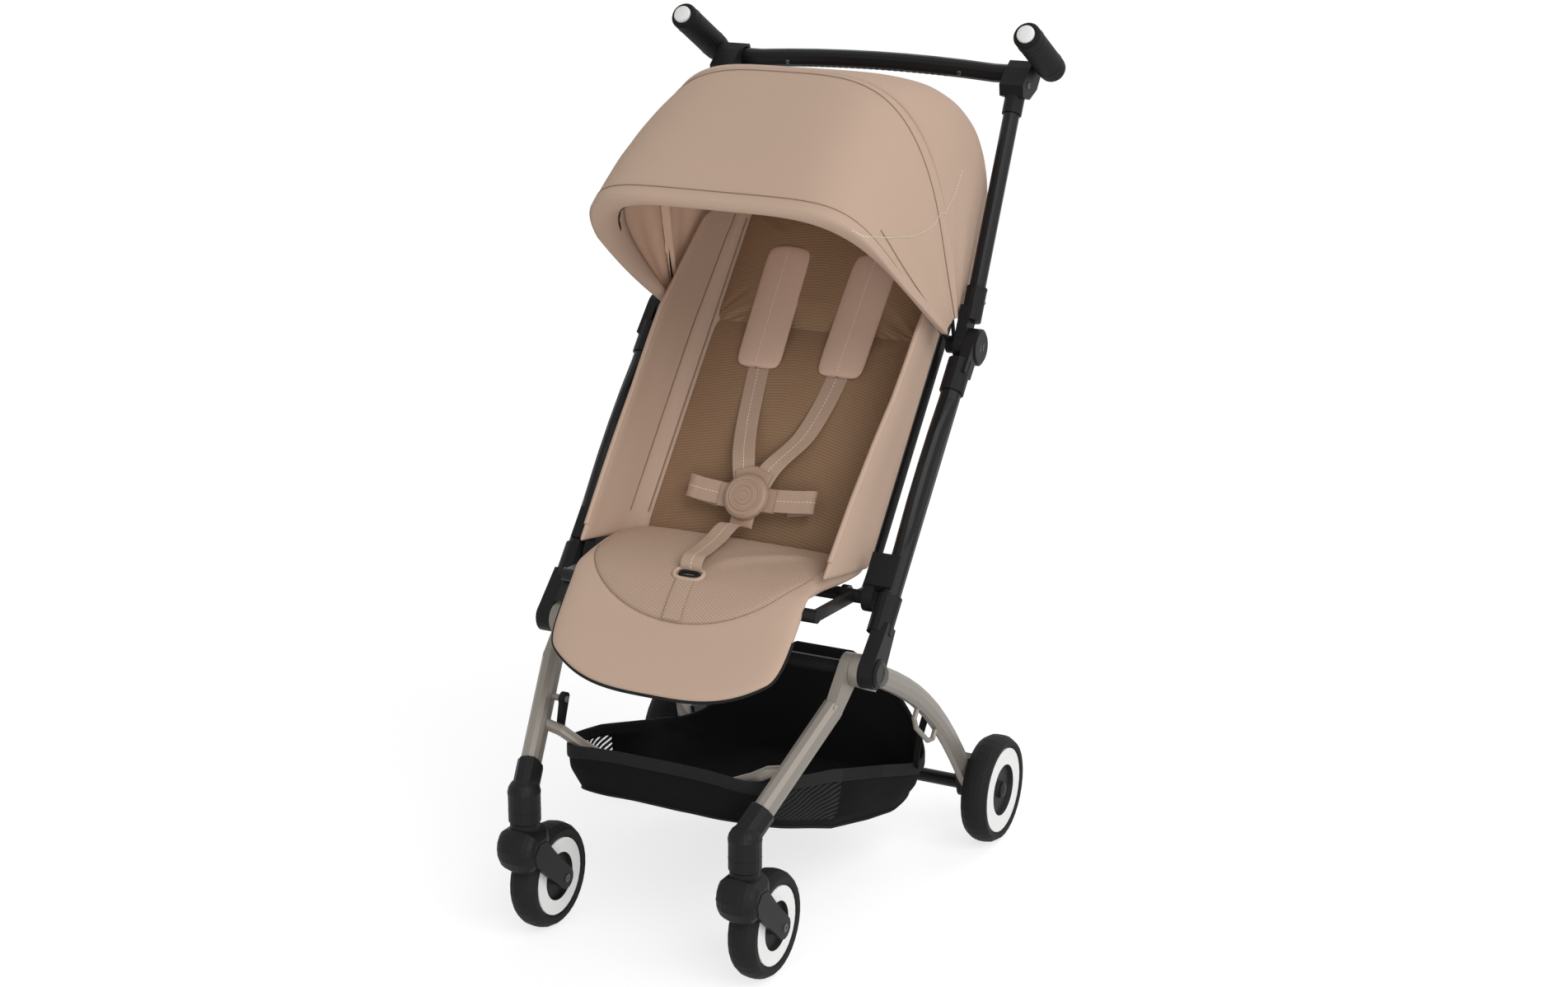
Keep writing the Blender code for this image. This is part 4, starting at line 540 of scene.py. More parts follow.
class Graph:
    """A material's node tree, with one method that makes any node."""

    def __init__(self, name: str) -> None:
        """Start a material of this name with a Principled shader."""
        self.material = bpy.data.materials.new(name)
        self.material.use_nodes = True
        self.tree = self.material.node_tree
        self.tree.nodes.clear()
        self.shader = self.node("ShaderNodeBsdfPrincipled")
        output = self.node("ShaderNodeOutputMaterial")
        self.tree.links.new(self.shader.outputs[0], output.inputs["Surface"])

    def node(self, kind: str, settings: dict | None = None, inputs: dict | None = None) -> bpy.types.Node:
        """Add a node.

        Args:
            kind: the node's type.
            settings: its properties, set first.
            inputs: values or signals for its sockets, by name or number.

        Returns:
            The node.
        """
        made = self.tree.nodes.new(kind)
        for key, value in (settings or {}).items():
            setattr(made, key, value)
        for key, value in (inputs or {}).items():
            if isinstance(value, Signal):
                self.tree.links.new(value.socket, made.inputs[key])
            else:
                made.inputs[key].default_value = value
        return made

    def maths(self, operation: str, *values) -> Signal:
        """A Math node's result for numbers or signals."""
        made = self.node("ShaderNodeMath", {"operation": operation}, dict(enumerate(values)))
        return Signal(self, made.outputs[0])

    def noise(self, scale: float, detail: float) -> Signal:
        """Noise from 0 to 1 on Object coordinates, at a scale per metre."""
        place = self.node("ShaderNodeTexCoord")
        inputs = {"Vector": Signal(self, place.outputs["Object"]), "Scale": (1.0, 1.0, 1.0)}
        spot = self.node("ShaderNodeMapping", None, inputs)
        inputs = {"Vector": Signal(self, spot.outputs[0]), "Scale": scale, "Detail": detail}
        return Signal(self, self.node("ShaderNodeTexNoise", None, inputs).outputs[0])

    def split(self, output: str) -> tuple[Signal, Signal, Signal]:
        """The x, y and z of a texture coordinate."""
        place = self.node("ShaderNodeTexCoord")
        parts = self.node("ShaderNodeSeparateXYZ", None, {0: Signal(self, place.outputs[output])})
        return tuple(Signal(self, socket) for socket in parts.outputs)

    def waves(self, pitch: Pair) -> tuple[Signal, Signal]:
        """Cosines across and along the cloth coordinates, one turn for each pitch."""
        return tuple((at * (2 * math.pi / step)).cosine() for at, step in zip(self.split("UV"), pitch))

    def blend(self, share: Signal, first: Signal | Colour, second: Colour) -> Signal:
        """The first colour where share is 0, and the second where it is 1."""
        start = first if isinstance(first, Signal) else (*first, 1.0)
        inputs = {0: share, 6: start, 7: (*second, 1.0)}
        return Signal(self, self.node("ShaderNodeMix", {"data_type": "RGBA"}, inputs).outputs[2])

    def bump(self, height: Signal, distance: float, strength: float = 1.0) -> None:
        """Feed a height in units of distance to the shader's normal."""
        inputs = {"Height": height, "Distance": distance, "Strength": strength}
        made = self.node("ShaderNodeBump", None, inputs)
        self.tree.links.new(made.outputs[0], self.shader.inputs["Normal"])

    def feed(self, **values) -> Material:
        """Set or link the shader's sockets, named with _ for a space, and return the material."""
        for key, value in values.items():
            socket = self.shader.inputs[key.replace("_", " ")]
            if isinstance(value, Signal):
                self.tree.links.new(value.socket, socket)
            else:
                socket.default_value = (*value, 1.0) if isinstance(value, tuple) else value
        return self.material


# Finishes


def scaled(colour: Colour, factor: float) -> Colour:
    """A colour made lighter or darker."""
    return tuple(channel * factor for channel in colour)


class Weave(Enum):
    """How a cloth's threads lie."""

    PLAIN = "plain"
    LATTICE = "lattice"
    RIB = "rib"


@dataclass(frozen=True)
class Cloth:
    """A woven cloth, patterned on its own cloth coordinates in metres."""

    name: str
    colour: Colour
    weave: Weave = Weave.PLAIN
    pitch: Pair = (0.0013, 0.0011)
    depth: float = 0.00012
    contrast: float = 0.10
    roughness: float = 0.88
    sheen: float = 0.25
    specular: float = 0.25

    def threads(self, graph: Graph) -> Signal:
        """The threads' height from 0 to 1.

        Plain: the product of two rectified cosines. Lattice: staggered dots, from the product of two cosines.
        Rib: one cosine across the strap, with a finer one along it.
        """
        across, running = graph.waves(self.pitch)
        if self.weave is Weave.PLAIN:
            return across.size() * 0.5 + running.size() * 0.5
        if self.weave is Weave.LATTICE:
            return across * running * 0.5 + 0.5
        return running * 0.35 + across * 0.15 + 0.5

    def make(self) -> Material:
        """The material: threads, broad unevenness of the dye and fine fuzz."""
        graph = Graph(self.name)
        threads = self.threads(graph)
        broad = graph.noise(9.0, 4.0)
        fuzz = graph.noise(900.0, 2.0)
        share = threads * 0.75 + fuzz * 0.25
        low, high = scaled(self.colour, 1 - self.contrast), scaled(self.colour, 1 + 0.5 * self.contrast)
        shade = graph.blend(share, low, high)
        colour = graph.blend((broad - 0.35) * 0.25, shade, scaled(self.colour, 0.90))
        graph.bump(threads + fuzz * 0.6, self.depth, 0.8)
        roughness = fuzz * 0.10 + (self.roughness - 0.05)
        return graph.feed(
            Base_Color=colour, Roughness=roughness, Sheen_Weight=self.sheen, Sheen_Roughness=0.5,
            Sheen_Tint=scaled(self.colour, 1.6), Specular_IOR_Level=self.specular,
        )


@dataclass(frozen=True)
class Net:
    """A net with rows of holes, cut by alpha on its cloth coordinates."""

    name: str
    colour: Colour
    pitch: Pair = (0.0040, 0.0070)
    thread_level: float = 0.90
    row_level: float = -0.25

    def make(self) -> Material:
        """The material: threads where either cosine is high, and holes between."""
        graph = Graph(self.name)
        threads, rows = graph.waves(self.pitch)
        solid = graph.maths("MAXIMUM", threads > self.thread_level, rows > self.row_level)
        graph.bump(rows, 0.0003)
        return graph.feed(Base_Color=self.colour, Roughness=0.85, Alpha=solid, Specular_IOR_Level=0.2)


@dataclass(frozen=True)
class Moulded:
    """A moulded plastic or rubber, with a fine grain."""

    name: str
    colour: Colour
    roughness: float = 0.5
    grain: float = 900.0
    depth: float = 0.00006
    specular: float = 0.5

    def make(self) -> Material:
        """The material: fine grain as bump, with slow changes of tone and gloss."""
        graph = Graph(self.name)
        broad = graph.noise(14.0, 3.0)
        fine = graph.noise(self.grain, 2.0)
        colour = graph.blend(broad, scaled(self.colour, 0.88), scaled(self.colour, 1.14))
        graph.bump(fine, self.depth)
        roughness = broad * 0.12 + fine * 0.06 + (self.roughness - 0.09)
        return graph.feed(Base_Color=colour, Roughness=roughness, Specular_IOR_Level=self.specular)


@dataclass(frozen=True)
class Paint:
    """A metallic or matt paint on a drawn tube."""

    name: str
    colour: Colour
    metallic: float
    roughness: float
    fleck: float = 0.08
    specular: float = 0.5

    def make(self) -> Material:
        """The material: bright and dark flecks in the paint, and slow changes of gloss."""
        graph = Graph(self.name)
        fleck = graph.noise(2600.0, 1.0)
        broad = graph.noise(11.0, 3.0)
        colour = graph.blend(fleck, scaled(self.colour, 1 - self.fleck), scaled(self.colour, 1 + self.fleck))
        graph.bump(fleck, 0.00002)
        roughness = broad * 0.10 + (self.roughness - 0.05)
        return graph.feed(
            Base_Color=colour, Roughness=roughness, Metallic=self.metallic, Specular_IOR_Level=self.specular
        )


@dataclass(frozen=True)
class Rim:
    """A pale flat ring with a dark recess in its middle, about a wheel's own centre."""

    name: str
    centre: Pair
    hole: float
    pale: Colour = (0.80, 0.80, 0.79)
    dark: Colour = (0.012, 0.012, 0.0123)

    def make(self) -> Material:
        """The material: its tone changes where the distance from the axis passes the hole's radius."""
        graph = Graph(self.name)
        _, y, z = graph.split("Object")
        off_y, off_z = y - self.centre[0], z - self.centre[1]
        radius = (off_y * off_y + off_z * off_z) ** 0.5
        outside = radius > self.hole
        fine = graph.noise(1100.0, 2.0)
        colour = graph.blend(outside, self.dark, self.pale)
        turned = (radius * 4200.0).cosine()
        graph.bump(fine + turned * 0.15, 0.00005)
        roughness = outside * -0.12 + (fine * 0.06 + 0.55)
        return graph.feed(Base_Color=colour, Roughness=roughness, Specular_IOR_Level=0.2)


class Finishes:
    """Every finish on the stroller, each made once."""

    CLOTH_TONE: Colour = (0.478, 0.344, 0.263)
    PAD_TONE: Colour = (0.395, 0.278, 0.208)
    # Painted shade: a darker, more saturated copy of the pad tan, for the back under the canopy.
    SHADED_INNER_TONE: Colour = (0.293, 0.180, 0.106)

    def __init__(self) -> None:
        """Make all the materials."""
        black, lattice = (0.0098, 0.0098, 0.0102), (0.0050, 0.0038)
        self.cloth = Cloth("tan_cloth", self.CLOTH_TONE).make()
        # Painted light: the lining is a lighter copy of the canopy tan, standing in for light that reaches
        # the canopy's inside.
        self.lit_lining = Cloth("lit_tan_lining", (0.665, 0.460, 0.340)).make()
        self.jacquard = Cloth(
            "tan_jacquard", scaled(self.PAD_TONE, 1.14), Weave.LATTICE, lattice, 0.00050, 0.40, 0.92
        ).make()
        # Painted shade: the back's pads take this darker copy of the jacquard.
        self.shaded_jacquard = Cloth(
            "shaded_jacquard", self.SHADED_INNER_TONE, Weave.LATTICE, lattice, 0.00050, 0.46, 0.92, 0.12
        ).make()
        self.pad_cloth = Cloth("shoulder_cloth", (0.575, 0.405, 0.315), Weave.PLAIN, (0.0012, 0.0010)).make()
        self.seam = Cloth("seam_cloth", scaled(self.PAD_TONE, 0.62), Weave.RIB, (0.0010, 0.0012)).make()
        self.webbing = Cloth(
            "tan_webbing", scaled(self.PAD_TONE, 1.04), Weave.RIB, (0.0030, 0.0016), 0.00025, 0.16, 0.75, 0.35
        ).make()
        self.thread = Cloth("pale_thread", (0.72, 0.67, 0.60), Weave.RIB, (0.0010, 0.0008)).make()
        self.dark_cloth = Cloth(
            "black_cloth", (0.0062, 0.0062, 0.0065), Weave.PLAIN, (0.0016, 0.0014), 0.0002, 0.3, 0.9, 0.02,
            0.10,
        ).make()
        self.dark_band = Cloth(
            "black_binding", (0.012, 0.012, 0.0125), Weave.RIB, (0.0024, 0.0016), 0.0003, 0.3, 0.8, 0.03, 0.15
        ).make()
        self.net = Net("black_net", (0.012, 0.012, 0.012)).make()
        self.plastic = Moulded("black_plastic", black, 0.48, specular=0.13).make()
        self.satin = Moulded("black_satin", scaled(black, 0.9), 0.36, 1400.0, 0.00003, 0.15).make()
        self.matt_tube = Paint("black_tube", black, 0.0, 0.30, specular=0.17).make()
        self.champagne = Paint("champagne_tube", (0.245, 0.220, 0.192), 0.35, 0.42, specular=0.3).make()
        self.grip = Moulded("grip_foam", black, 0.66, 1300.0, 0.00014, 0.10).make()
        self.tyre = Moulded("tyre_foam", (0.0140, 0.0140, 0.0143), 0.64, 700.0, 0.00016, 0.10).make()
        self.pale = Moulded("pale_plastic", (0.74, 0.74, 0.73), 0.42).make()
        self.tan_plastic = Moulded("tan_plastic", (0.335, 0.225, 0.162), 0.50, specular=0.3).make()
        self.screw = Paint("screw_steel", (0.10, 0.10, 0.10), 0.9, 0.35).make()


FINISH: dict[str, Finishes] = {}


def finish() -> Finishes:
    """The set of finishes, made at its first use."""
    if "all" not in FINISH:
        FINISH["all"] = Finishes()
    return FINISH["all"]


def dress(obj: Piece, material: Material, slot: str, body: str | None = None) -> Piece:
    """Give a piece its material, log the slot that the finish stands for, and let it ride on a body if one is
    named.

    Args:
        obj: the piece.
        material: its finish.
        slot: the record's slot that the finish stands for.
        body: the body that it moves with.

    Returns:
        The same piece.
    """
    obj.data.materials.clear()
    obj.data.materials.append(material)
    if body:
        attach(obj, body)
    LOG.info("made %s (%s)", obj.name, slot)
    return obj


# The frame's side view, as (y, z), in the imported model's own numbers

HUB = (-0.1396, 0.3349)
PUSH_ANGLE = 50.8
PUSH_LENGTH = 0.4243
PUSH_X = 0.2087
UPPER_ANGLE = 60.2
UPPER_LENGTH = 0.3315
UPPER_TOP_X = 0.1990
HINGE_POINT = along(HUB, PUSH_ANGLE, PUSH_LENGTH)
HINGE_PIN = along(HINGE_POINT, PUSH_ANGLE - 90, 0.0120)
PIN = np.array([0.0, *HINGE_PIN])
SEAT_PIVOT = (-0.0820, 0.4020)
SEAT_BAR = along(SEAT_PIVOT, 177.0, 0.1000)
LEG_ANGLE = 226.0
BACK_START = (-0.0390, 0.4200)
BACK_ANGLE = 51.0


def back_point(x, up, out) -> np.ndarray:
    """Points by x, distance up the back and distance out from its front face."""
    x, up, out = np.broadcast_arrays(np.asarray(x, float), np.asarray(up, float), np.asarray(out, float))
    return join_x(x, along(BACK_START, BACK_ANGLE, up, out))


BACK_OUT = way(BACK_ANGLE + 90)


def out_of_back(obj: Piece) -> np.ndarray:
    """How far each of a piece's vertices lies out from the back's front face."""
    return (read_points(obj) - np.array([0.0, *BACK_START])) @ BACK_OUT


# Sub-assemblies


@dataclass
class Frame:
    """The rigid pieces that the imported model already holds: they only get their finishes."""

    nodes: dict[str, Piece]
    FRONT_HOLE: ClassVar[float] = 0.0290
    REAR_HOLE: ClassVar[float] = 0.0330

    def finish_for(self, name: str) -> Material | None:
        """The finish of a node, by what its name starts with."""
        paints = finish()
        table = {
            "front_leg": paints.champagne, "rear_leg": paints.champagne, "front_cross": paints.champagne,
            "hub_cross": paints.satin, "lower_tube": paints.matt_tube, "upper_tube": paints.matt_tube,
            "rear_axle": paints.matt_tube, "seat_frame": paints.matt_tube, "backrest_frame": paints.matt_tube,
            "grip_button": paints.pale, "grip": paints.grip, "buckle": paints.tan_plastic,
            "crossbar": paints.satin,
        }
        for start, material in table.items():
            if name.startswith(start):
                return material
        if name.endswith("tyre"):
            return paints.tyre
        return None if name.endswith("rim") else paints.plastic

    def rims(self) -> None:
        """Give each rim its ring and recess about its own centre."""
        for name, node in self.nodes.items():
            if name.endswith("rim"):
                low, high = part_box(name)
                hole = self.FRONT_HOLE if name.startswith("front") else self.REAR_HOLE
                centre = (0.5 * (low.y + high.y), 0.5 * (low.z + high.z))
                self.paint(node, Rim(name + "_tone", centre, hole).make())

    def paint(self, node: Piece, material: Material) -> None:
        """Put a material in all of a node's slots."""
        node.data.materials.clear()
        node.data.materials.append(material)
        LOG.info("finished %s", node.name)

    def build(self) -> None:
        """Dress every rigid node."""
        for name, node in self.nodes.items():
            material = self.finish_for(name)
            if material:
                self.paint(node, material)
        self.rims()


@dataclass
class Canopy:
    """The sunshade: one curved sheet in two panels over two bows, with its hem, seams and stitching."""

    rear_angle: float = 44.0
    main_angle: float = 103.0
    front_angle: float = 143.0
    rear_reach: float = 0.2500
    main_reach: float = 0.3330
    front_reach: float = 0.3280
    rear_half: float = 0.1875
    main_half: float = 0.1955
    front_half: float = 0.1915
    corner: float = 0.55
    sag: float = 0.0060
    fuller: float = 0.25
    front_fuller: float = 0.22
    brim: float = 6.0
    cloth: float = 0.0018
    hem: float = 0.0130
    hem_turn: tuple = (
        (0.60, 0.0020), (0.95, 0.0045), (1.05, 0.0080), (0.70, 0.0120), (-0.30, 0.0150), (-1.80, 0.0158),
        (-4.20, 0.0150),
    )
    sleeve_turn: tuple = (
        (-3.2, 0.0052), (-2.2, 0.0085), (-1.5, 0.0130), (-0.6, 0.0160), (0.6, 0.0160), (1.5, 0.0130),
        (2.2, 0.0085), (3.2, 0.0052),
    )
    stitch_front: tuple = (
        (1.0, 0.873), (0.982, 0.726), (0.914, 0.563), (0.814, 0.423), (0.677, 0.33), (0.473, 0.284),
        (0.25, 0.276), (0.055, 0.299), (0.0, 0.291),
    )
    stitch_rear: tuple = ((1.0, 0.291), (0.905, 0.284), (0.791, 0.307), (0.705, 0.361))
    dart_share: Pair = (0.86, 0.90)
    dart_reach: Pair = (0.560, 0.120)
    hem_shares: Pair = (0.938, 0.966)
    tuck: float = 0.0016
    columns: int = 150

    def hoop(self, angle, half, reach, t: np.ndarray, corner=None) -> np.ndarray:
        """Points of a boxy hoop on the hinge pin.

        Their x is half times a power of cosine, and their distance from the pin reach times a power of sine.

        Args:
            angle: the hoop's angle about the pin, in degrees above +Y.
            half: its half width.
            reach: its farthest distance from the pin.
            t: places along it, from 0 at the sitter's left end to pi.
            corner: the power, or nothing for the bows' own.

        Returns:
            Points with x, y, z last.
        """
        corner = self.corner if corner is None else corner
        x = half * signed_power(np.cos(t), corner)
        distance = reach * np.sin(t) ** corner
        rad = np.radians(angle)
        y, z = HINGE_PIN[0] + distance * np.cos(rad), HINGE_PIN[1] + distance * np.sin(rad)
        return np.stack([x, y, z], axis=-1)

    def square(self, t: np.ndarray) -> np.ndarray:
        """How much of the front edge's squarer corners holds: none at the pins, all a third of the way up."""
        return np.clip(np.sin(t) / 0.35, 0, 1)

    def forward(self, t: np.ndarray) -> np.ndarray:
        """How far forward of its bow the brim leans, in degrees: most at the pins, none at the top."""
        return self.brim * (1 - np.sin(t)) ** 1.3

    def panel_grid(self, front: bool, shares: np.ndarray, t: np.ndarray) -> np.ndarray:
        """Points of one panel by share of its way from bow to bow and place along the hoop.

        Between the bows the cloth sags by a sine, and soft folds run out from the tips at the pins.
        """
        first = (self.rear_angle, self.rear_half, self.rear_reach)
        last = (self.main_angle, self.main_half, self.main_reach)
        if front:
            first, last = last, (self.front_angle, self.front_half, self.front_reach)
        w, place = shares[:, None], t[None, :]
        angle, half, reach = (a + (b - a) * w for a, b in zip(first, last))
        low = np.sin(place) ** self.corner
        if front:
            corner = self.corner - self.front_fuller * w**0.9 * self.square(place)
            angle = angle + self.forward(place) * w**2
            size, waves, sag = 0.0022, 2.0, self.sag
        else:
            rise = np.clip(np.sin(place) / 0.4 - 0.1, 0, 1)
            corner = self.corner - self.fuller * np.sin(np.pi * w) ** 0.6 * rise
            half = half - self.tuck
            size, waves, sag = 0.0012, 3.0, -0.0030
        dip = sag * np.sin(np.pi * w) * (0.55 + 0.45 * low)
        folds = size * np.exp(-(((low - 0.30) / 0.20) ** 2)) * np.cos(2 * np.pi * w * waves + 2.2 * low)
        ripple = 0.0010 * soft_noise(9 * w + 3 * place, 5 * place - 2 * w, 4 * w) * np.sin(np.pi * w)
        half, reach = half - 0.4 * dip + folds, reach - dip + ripple + 0.4 * folds
        return self.hoop(angle, half, reach, place, corner)

    def places(self, start: float = 0.018) -> np.ndarray:
        """Places along a hoop, closer together near its ends."""
        return start + (np.pi - 2 * start) * (0.5 - 0.5 * np.cos(np.pi * np.linspace(0, 1, self.columns)))

    def turned_in(self, t: np.ndarray) -> np.ndarray:
        """Rows past the front edge, that turn in round the front bow and run back inside the cloth."""
        rows = []
        for rank, (turned, inset) in enumerate(self.hem_turn):
            outer = 1 - (rank + 1) / len(self.hem_turn)
            half, reach = self.front_half - 0.76 * inset, self.front_reach - inset
            angle = self.front_angle + turned + outer * self.forward(t)
            corner = self.corner - outer * self.front_fuller * self.square(t)
            rows.append(self.hoop(angle, half, reach, t, corner))
        return np.stack(rows)

    def bow_sleeve(self) -> None:
        """A sleeve of lining round the main bow, on the inside of the cloth, in the lining's lighter tan:
        painted light.
        """
        t = self.places()
        rows = [
            self.hoop(self.main_angle + turned, self.main_half - 0.70 * inset, self.main_reach - inset, t)
            for turned, inset in self.sleeve_turn
        ]
        grid = smooth_columns(np.stack(rows, axis=1), 24).swapaxes(0, 1)
        obj = sheet_mesh("canopy_bow_sleeve", grid, 0.0008)
        bake_modifiers(obj)
        dress(obj, finish().lit_lining, "tan_fabric", "canopy_main")
        flat = float(arc_lengths(grid, 1)[:, -1].max()) + 0.01, float(arc_lengths(grid, 0)[-1].max()) + 0.002
        LOG.info("bow sleeve: flat %.3f m by %.3f m, %.4f m2", *flat, grid_area(grid))
        grid_area(grid)

    def hem_lift(self, grid: np.ndarray) -> np.ndarray:
        """Thicken the panel's last strip into a hem: points near its edge move out from the middle."""
        gap = np.linalg.norm(grid - grid[-1:], axis=-1)
        lift = 0.0011 / (1 + np.exp((gap - self.hem) / 0.0006))
        lift = lift - 0.0006 * np.exp(-(((gap - self.hem) / 0.0012) ** 2))
        out = grid - PIN
        out /= np.linalg.norm(out, axis=-1, keepdims=True)
        return grid + out * lift[..., None]

    def panel(self, name: str, front: bool) -> None:
        """Build one panel and bake its placement into its mesh."""
        shares = np.linspace(0, 1, 90 if front else 80)
        grid = self.panel_grid(front, shares, self.places())
        if front:
            grid = self.hem_lift(grid)
        else:
            grid = self.hem_lift(grid[::-1])[::-1]
        whole = np.concatenate([grid, self.turned_in(self.places())]) if front else grid
        obj = sheet_mesh(name, whole, self.cloth)
        obj.data.materials.append(finish().cloth)
        # The inner face takes the lighter lining: painted light on the canopy's inside.
        obj.data.materials.append(finish().lit_lining)
        obj.modifiers["thickness"].material_offset = 1
        bake_modifiers(obj)
        LOG.info("made %s (tan_fabric), lined", obj.name)
        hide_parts(name.replace("_cloth", ""))
        self.bend(obj, front)
        area = grid_area(whole)

    def bend(self, obj: Piece, front: bool) -> None:
        """Bake a piece's placement into its mesh; the panel's two edges at the top are found but not used,
        and the piece is not blended between bodies.
        """
        t = np.array([0.5 * np.pi])
        ends = self.panel_grid(front, np.array([0.02, 0.98]), t)[:, 0]
        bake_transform(obj)

    def curve(self, front: bool, shares, t, lift: float = 0.0012) -> np.ndarray:
        """A curve on a panel, lifted a little off it, by one share and place for each point."""
        shares, t = np.broadcast_arrays(np.asarray(shares, float), np.asarray(t, float))
        points = np.diagonal(self.panel_grid(front, shares, t)).T
        out = points - PIN
        return points + lift * out / np.linalg.norm(out, axis=1, keepdims=True)

    def seam(self, name: str, line: np.ndarray, radius: float) -> None:
        """A seam along a line on the front panel."""
        self.bend(dress(tube_mesh(name, line, radius), finish().seam, "tan_fabric"), True)

    def trim(self) -> None:
        """Seams along the main bow, the hem and the side darts, and the stitched line round each side."""
        t = self.places()
        bow = self.curve(True, 0.03 + 0.12 * np.cos(t) ** 2, t, 0.0003)
        self.seam("canopy_seam", bow, 0.0007)
        for rank, share in enumerate(self.hem_shares):
            self.seam(f"hem_seam_{rank + 1}", self.curve(True, share, t, 0.0004), 0.0005)
        for side in SIDES:
            word = WORDS[side]
            for front, rows in ((True, self.stitch_front), (False, self.stitch_rear)):
                shares, low = smooth_curve(rows, 70).T
                arc = self.curve(front, shares, low if side > 0 else np.pi - low, 0.0008)
                normal = (arc - PIN) * np.array([3.0, 1.0, 1.0])
                name = f"canopy_stitches_{'front' if front else 'rear'}_{word}"
                stitches = stitch_mesh(name, arc, normal, 0.0050, 0.0034, 0.0002)
                self.bend(dress(stitches, finish().thread, "tan_fabric"), front)
            reach, shares = np.linspace(*self.dart_reach, 30), np.linspace(*self.dart_share, 30)
            dart = self.curve(True, shares, reach if side > 0 else np.pi - reach, 0.0006)
            self.seam("canopy_dart_" + word, dart, 0.0006)

    def build(self) -> None:
        """Make both panels and their trim."""
        self.panel("canopy_rear_panel_cloth", False)
        self.panel("canopy_front_panel_cloth", True)
        self.bow_sleeve()
        self.trim()


@dataclass
class BackRest:
    """The back: a channel-shaped shell with deep side wings, a patterned pad and a head pad."""

    low: float = 0.0010
    high: float = 0.4700
    thickness: float = 0.0240
    wing_rows: tuple = (0.0, 0.07, 0.18, 0.27, 0.41, 0.48)
    wing_depth: tuple = (0.103, 0.099, 0.089, 0.084, 0.053, 0.010)
    wing_x: tuple = (0.1590, 0.1620, 0.1690, 0.1710, 0.1700, 0.1620)
    wing_half: float = 0.0030
    slant: float = 0.56
    slant_end: float = 0.1200
    root: float = 0.1500
    inner_rows: tuple = (
        (0.0, 0.0020), (0.070, 0.0018), (0.120, 0.0010), (0.134, 0.0005), (0.1425, 0.0035), (0.1480, 0.010)
    )
    outer_rows: tuple = (
        (0.0, 1.0), (0.070, 1.0), (0.120, 1.0), (0.140, 0.93), (0.1525, 0.70), (0.1580, 0.25)
    )
    seam_columns: tuple = ((4, 0.0016), (6, 0.0010))
    pad_half: float = 0.1370
    pad_corner: float = 9.0

    def section(self, up: np.ndarray) -> tuple[np.ndarray, np.ndarray]:
        """Inner and outer (x, out) control points of half the section, for each distance up.

        From the middle the inner line is level, dips into a valley at the wing's root, then follows the wing
        to its edge; the outer line goes back outside it and under the back.
        """
        depth = np.interp(up, self.wing_rows, self.wing_depth)
        tip = np.interp(up, self.wing_rows, self.wing_x)
        edge = np.minimum(up - self.low, self.high - up) / 0.035
        end = 0.40 + 0.60 * np.sqrt(np.clip(1 - (1 - np.clip(edge, 0, 1)) ** 2, 0, 1))
        rear = -self.thickness * end
        inner = [(0 * up + x, 0 * up + out) for x, out in self.inner_rows]
        outer = [(0 * up + x, share * rear) for x, share in self.outer_rows]
        for share in (0.25, 0.50, 0.75, 0.93):
            bulge = 0.0035 * math.sin(math.pi * share)
            x = self.root + (tip - self.root) * share + bulge
            out = np.maximum(0.011 + 0.001 * share, depth * share)
            inner.append((x - self.wing_half + 0.003 * (1 - share), out))
            outer.append((x + self.wing_half + 0.005 * (1 - share), out))
        inner.append((tip - 0.5 * self.wing_half, np.maximum(depth, 0.0125)))
        outer.append((tip + 0.9 * self.wing_half, np.maximum(depth, 0.0125)))
        return tuple(np.stack([np.stack(pair, axis=-1) for pair in line], axis=1) for line in (inner, outer))

    def on_back(self, x: np.ndarray, up: np.ndarray, out: np.ndarray) -> np.ndarray:
        """Points on the back, moved down by a slant that grows outward near the wings' feet."""
        slant = self.slant * np.clip(1 - up / self.slant_end, 0, 1)
        return back_point(x, up - slant * np.maximum(0, out), out)

    def wing_folds(self, grid: np.ndarray, up: np.ndarray) -> np.ndarray:
        """Soft folds on the wings: waves that grow away from the pad, in x only."""
        x, out = grid[..., 0], grid[..., 1]
        free = np.clip((np.abs(x) - 0.150) / 0.02, 0, 1) * np.clip(out / 0.05, 0, 1)
        wave = soft_noise(up[:, None] * 22 + 1, out * 55, x * 20)
        grid[..., 0] = x + 0.0016 * free * wave
        return grid

    def shell(self) -> None:
        """Build the channel-shaped shell from the two mirrored lines."""
        up = np.linspace(self.low, self.high, 64)
        grids = []
        for half in self.section(up):
            fine = smooth_columns(half, 46)
            whole = np.concatenate([fine[:, :0:-1] * np.array([-1.0, 1.0]), fine], axis=1)
            grids.append(self.wing_folds(whole, up))
        points = [self.on_back(grid[..., 0], up[:, None], grid[..., 1]) for grid in grids]
        obj = shell_mesh("back_shell", *points)
        refine(obj)
        bake_modifiers(obj)
        dress(obj, finish().cloth, "tan_fabric", "backrest")
        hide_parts("backrest_cushion")
        self.edges(points, up)

    def edges(self, points: list[np.ndarray], up: np.ndarray) -> None:
        """Piping along each wing's free edge, and two seams along its root."""
        for side, column in ((-1, 0), (1, -1)):
            edge = 0.5 * (points[0][:, column] + points[1][:, column])
            path = smooth_curve(edge[2:-2], 90)
            piping = tube_mesh("wing_piping_" + WORDS[side], path, 0.0032)
            dress(piping, finish().cloth, "tan_fabric", "backrest")
            line = self.section(up)[0]
            for rank, (column, lift) in enumerate(self.seam_columns):
                x, out = side * (line[4:-4, column, 0] - lift), line[4:-4, column, 1] + lift
                seam = smooth_curve(self.on_back(x, up[4:-4], out), 90)
                name = f"wing_seam_{WORDS[side]}_{rank + 1}"
                dress(tube_mesh(name, seam, 0.0007), finish().seam, "tan_fabric", "backrest")

